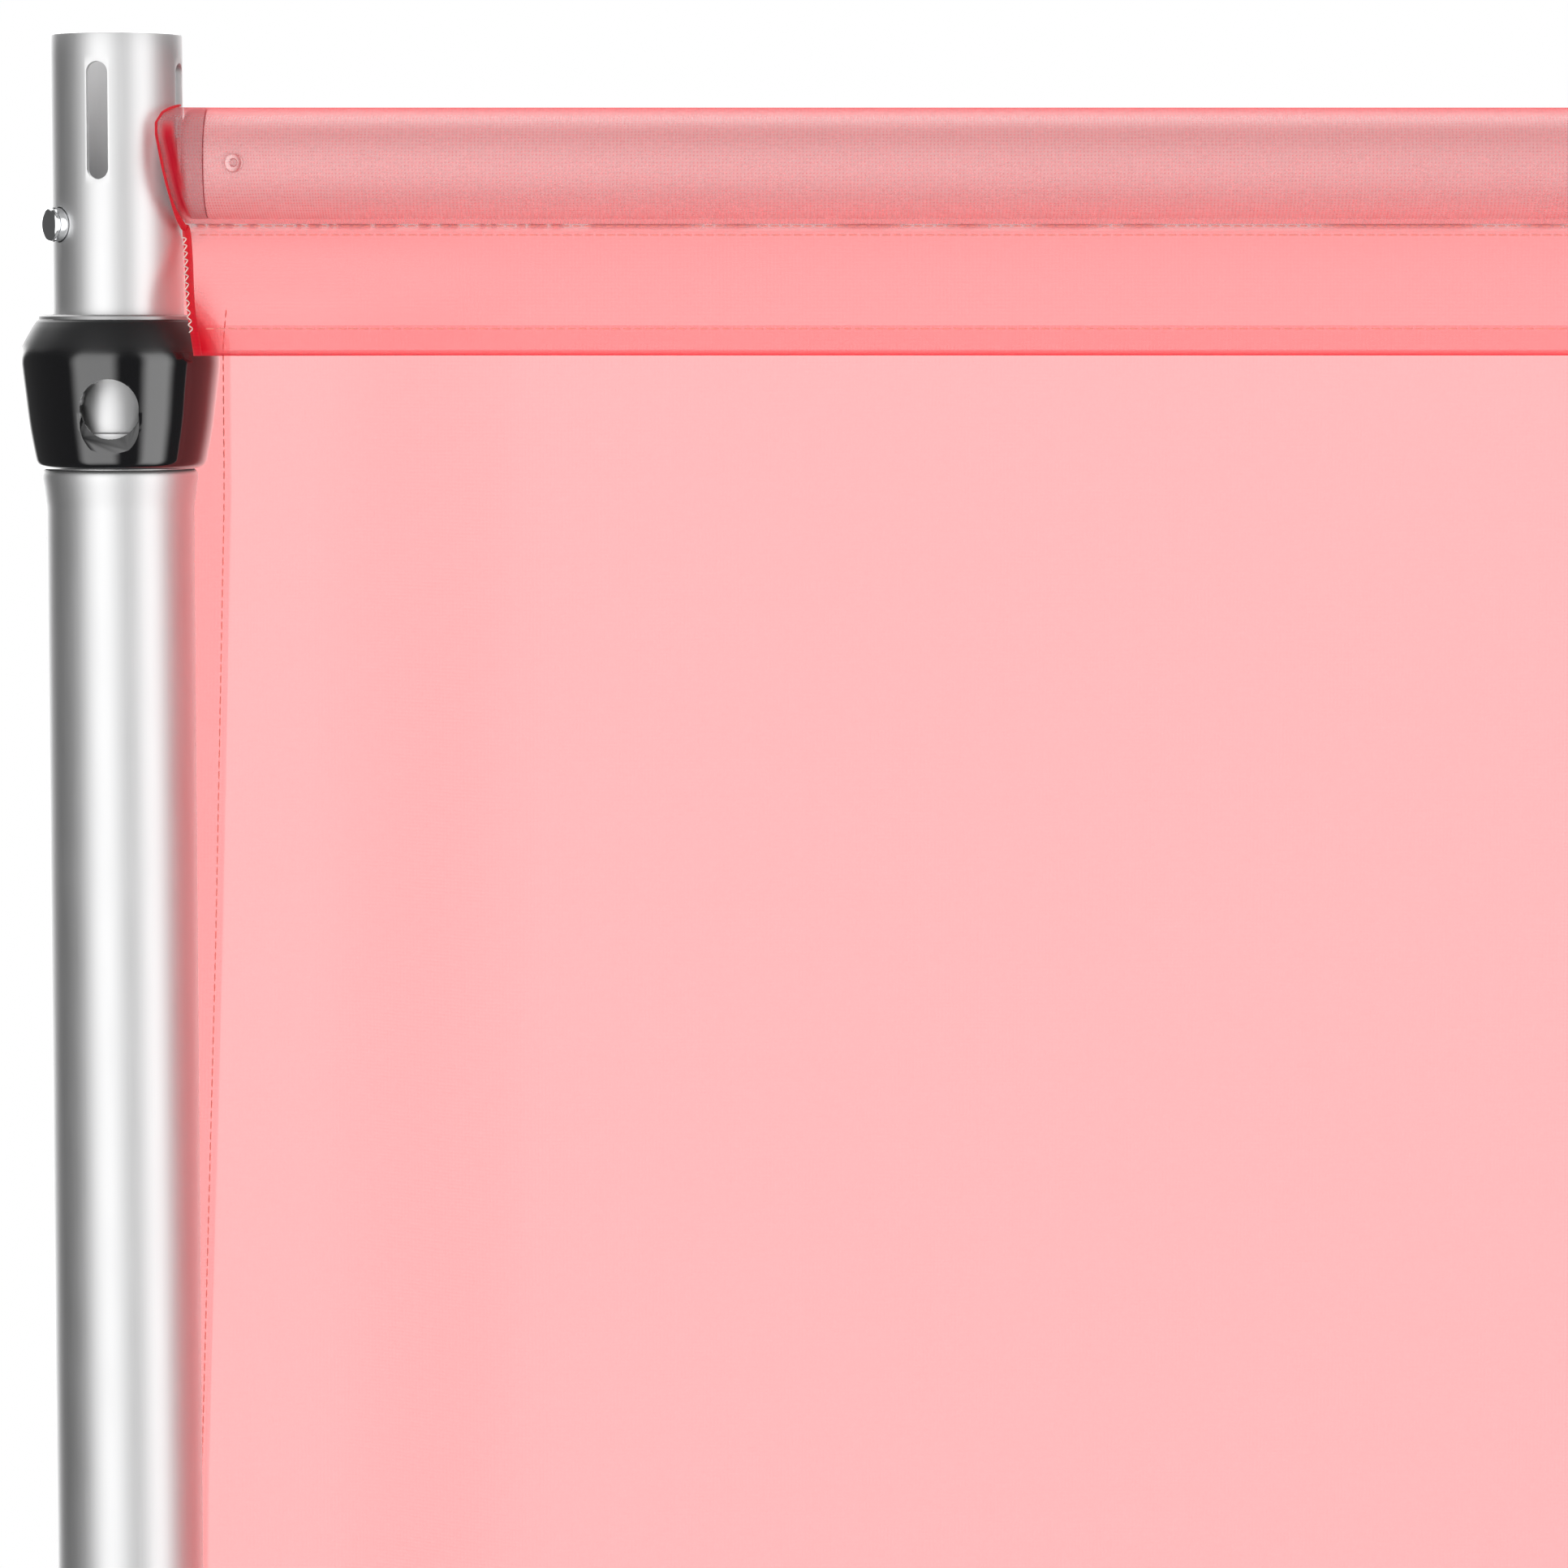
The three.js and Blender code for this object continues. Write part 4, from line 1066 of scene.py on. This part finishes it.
# Along the fold beside the pocket's front edge, extra plies paint the shade in the crease.
for k, angle in enumerate(angles):
    x = rows[first_pocket_row + k, :, 0] / MM + half_span
    on_bar = (1 - NESTED_ON_BAR) * ease(angle, 100, 130)
    plies[first_pocket_row + k] = 1 - on_bar + GAPE_PAINTED_SHADE * gape(angle, x)
plies[flap_start:] = NESTED
# At the flap's lower corners, extra plies paint the shade where the black collar behind the flap blocks the
# light, over the real hem and bound edge there.
for k, z in enumerate(flap_heights):
    away = ((column_reach - EDGE) / CORNER_WIDE) ** 2 + ((z - FLAP_BOTTOM) / CORNER_TALL) ** 2
    plies[flap_start + k] += CORNER_PLIES_AND_SHADE * np.exp(-away)
plies[flap_start + len(flap_heights) - 1] = FOLD_PLIES
cloth.add(rows, columns * MM, walk, plies)

# %% [markdown]
# Where plies lie flat on each other their threads hide behind one another, so a second ply adds
# less cover than the first: the flap and the hems count as a third of a ply. The fold at the
# flap's bottom is dense. Its corners get many more plies, which paint the shade where the black
# collar behind the flap blocks the light, over the real layers of hem and bound edge there.
# The panel's side hems are turned back behind it. Round the front edge of the pocket and down
# the flap the cloth is rolled instead, so there its edge is a thin roll with a coil and a
# quarter in it.

# %% Side hems and rolled edges
hem_across = np.linspace(0, SIDE_HEM, 9)
heights = panel_heights[panel_heights < seam_z - 1]
for hand in (1, -1):
    strip = []
    for z in heights:
        edge = panel_edge(z)
        turned_back = hem_across * (1 - 0.9 * ease(z, *HEM_NARROWS))
        x = edge + turned_back if hand > 0 else span - edge - turned_back
        behind = PLY_GAP * np.minimum(hem_across / 1.5, 1)
        strip.append(points(x, panel_depth(x, z) + behind, z))
    outward = (-hem_across if hand > 0 else span + hem_across) * MM
    cloth.add(strip, outward, heights * MM, NESTED)

LIP_ROLL, FLAP_ROLL, COIL, TIGHTER = 0.5, 1.5, 450, 0.45
BINDING, BINDING_PROUD = np.array([112.0, 172.0]), 0.35
roll_turn = np.linspace(0, COIL, 16)
binding = []
front = slice(first_pocket_row + np.searchsorted(angles, 95), len(rows) - len(turn_up))
front_rows, front_walk = rows[front], walk[front]
for end, inside in ((0, 1), (-1, -2)):
    edge = front_rows[:, end]
    inwards = front_rows[:, inside] - edge
    inwards /= np.linalg.norm(inwards, axis=1)[:, None]
    down = np.gradient(edge, axis=0)
    back = np.cross(down, inwards) * (1 if end == 0 else -1)
    back /= np.linalg.norm(back, axis=1)[:, None]

    def on_roll(turn, proud=0.0):
        """Where the roll's surface lies at some angles round it, one row for each row of the edge."""
        found = []
        for p, n, i in zip(edge, back, inwards):
            fat = LIP_ROLL + (FLAP_ROLL - LIP_ROLL) * ease(seam_z - p[2] / MM, -8, 4)
            size = (fat * (1 - TIGHTER * turn / COIL) + proud) * MM
            a = np.radians(turn)
            found.append(p + n * fat * MM - np.outer(np.cos(a) * size, n) - np.outer(np.sin(a) * size, i))
        return found

    cloth.add(on_roll(roll_turn), roll_turn * MM / 90, front_walk, ROLL_PLIES)
    binding.append((edge[:, 2], np.array(on_roll(BINDING, BINDING_PROUD))))

drape = cloth.mesh("drape_voile")
drape.data.materials.append(coral_voile)
print("drape", len(drape.data.polygons), "faces")

# %% [markdown]
# ## Stitching
# Sewing thread shows as short grains with gaps between them. One grain is a thin spindle with
# a few faces. It is copied along every seam by its place and its direction, and lies on the
# cloth's front. Two lines close the pocket, one holds each hem, and a zigzag binds the flap's
# ends.

# %% Stitches
THREAD = 0.17
STITCH, GAP, ZIGZAG = 2.5, 0.7, 1.1
SPINDLE = ((-0.5, 0.35), (-0.3, 0.9), (0, 1), (0.3, 0.9), (0.5, 0.35))
AROUND = 6
FRONT = np.array([0, -1.0, 0])


def stitches(name, runs):
    """Runs are lists of (start, end) in metres; each becomes one spindle of thread on the front."""
    verts, faces = [], []
    for start, end in runs:
        along = end - start
        size = np.linalg.norm(along)
        along = along / size
        side = np.cross(FRONT, along)
        side /= np.linalg.norm(side)
        lift = np.cross(along, side)
        first = len(verts)
        for share, fat in SPINDLE:
            centre = (start + end) / 2 + along * share * size + lift * THREAD * MM
            for k in range(AROUND):
                a = TURN * k / AROUND
                verts.append(centre + (side * math.cos(a) * 1.2 + lift * math.sin(a)) * THREAD * MM * fat)
        for ring_number in range(len(SPINDLE) - 1):
            for k in range(AROUND):
                a = first + ring_number * AROUND + k
                b = first + ring_number * AROUND + (k + 1) % AROUND
                faces.append((a, b, b + AROUND, a + AROUND))
        faces.append(tuple(first + k for k in reversed(range(AROUND))))
        faces.append(tuple(first + (len(SPINDLE) - 1) * AROUND + k for k in range(AROUND)))
    print(name, len(runs), "stitches")
    return tidy(from_points(name, verts, faces))


def dashes(line):
    """Stitches with gaps along a line of points in metres."""
    line = np.asarray(line)
    lengths = np.concatenate([[0], np.cumsum(np.linalg.norm(np.diff(line, axis=0), axis=1))])
    starts = np.arange(1.0 * MM, lengths[-1] - STITCH * MM, (STITCH + GAP) * MM)
    at = lambda s: np.array([np.interp(s, lengths, line[:, k]) for k in range(3)])
    return [(at(s), at(s + STITCH * MM)) for s in starts]


seams = []
for z in (seam_z - 0.6, seam_z - 3.2, FLAP_BOTTOM + FLAP_HEM - 0.9):
    seams += dashes(flap_row(z)[2:-2])
hems = dashes(panel_row(PANEL_BOTTOM + PANEL_HEM - 2)[2:-2])
for hand in (1, -1):
    line = []
    for z in np.arange(PANEL_BOTTOM + 4, HEM_NARROWS[1] - 1, 12):
        edge = panel_edge(z) + SIDE_HEM - 2
        x = np.array([edge if hand > 0 else span - edge])
        line.append(points(x, panel_depth(x, z), z)[0])
    hems += dashes(line)
zigzag = []
for heights_down, edges in binding:
    spots = []
    for k, z in enumerate(np.arange(seam_z - 5, FLAP_BOTTOM + 6, -ZIGZAG)):
        columns_at = edges[:, k % 2]
        spots.append(np.array([np.interp(-z * MM, -heights_down, column) for column in columns_at.T]))
    zigzag += zip(spots, spots[1:])

thread_finish = hard("sewing_thread", (0.84, 0.25, 0.21), (0.95, 0.33, 0.28), 0, 0.7, 0.1, 2500, 0.00002)
pale_thread = hard("pale_thread", (0.86, 0.66, 0.60), (0.93, 0.74, 0.68), 0, 0.7, 0.1, 2500, 0.00002)
seam_stitches = stitches("pocket_stitches", seams)
hem_stitches = stitches("hem_stitches", hems)
edge_stitches = stitches("edge_stitches", zigzag)
sewn = (seam_stitches, hem_stitches, edge_stitches)
for piece, finish in zip(sewn, (thread_finish, thread_finish, pale_thread)):
    piece.data.materials.append(finish)

# %% [markdown]
# ## What the drape rides on
# The drape hangs from the left mast's crossbar tube, and its stitches with it. When the uprights
# are pushed together the real cloth gathers up; here the drape keeps its shape, and only the share
# of the pocket's width left at the slide's narrowest is worked out, across the pocket between its
# ends.

# %% Drape and stitches on the frame
slide = next(joint for joint in frame["joints"] if joint["name"] == "width_slide")
pocket_width = (span - 2 * SEAM_EDGE) * MM
narrowest = (pocket_width + slide["range_m"][0]) / pocket_width
for piece in (drape, *sewn):
    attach(piece, "mast_left")
    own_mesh(piece)
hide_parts("drape")

# %% [markdown]
# ## Closing
# The scene is brought up to date at the end.

# %% Closing
bpy.context.view_layer.update()
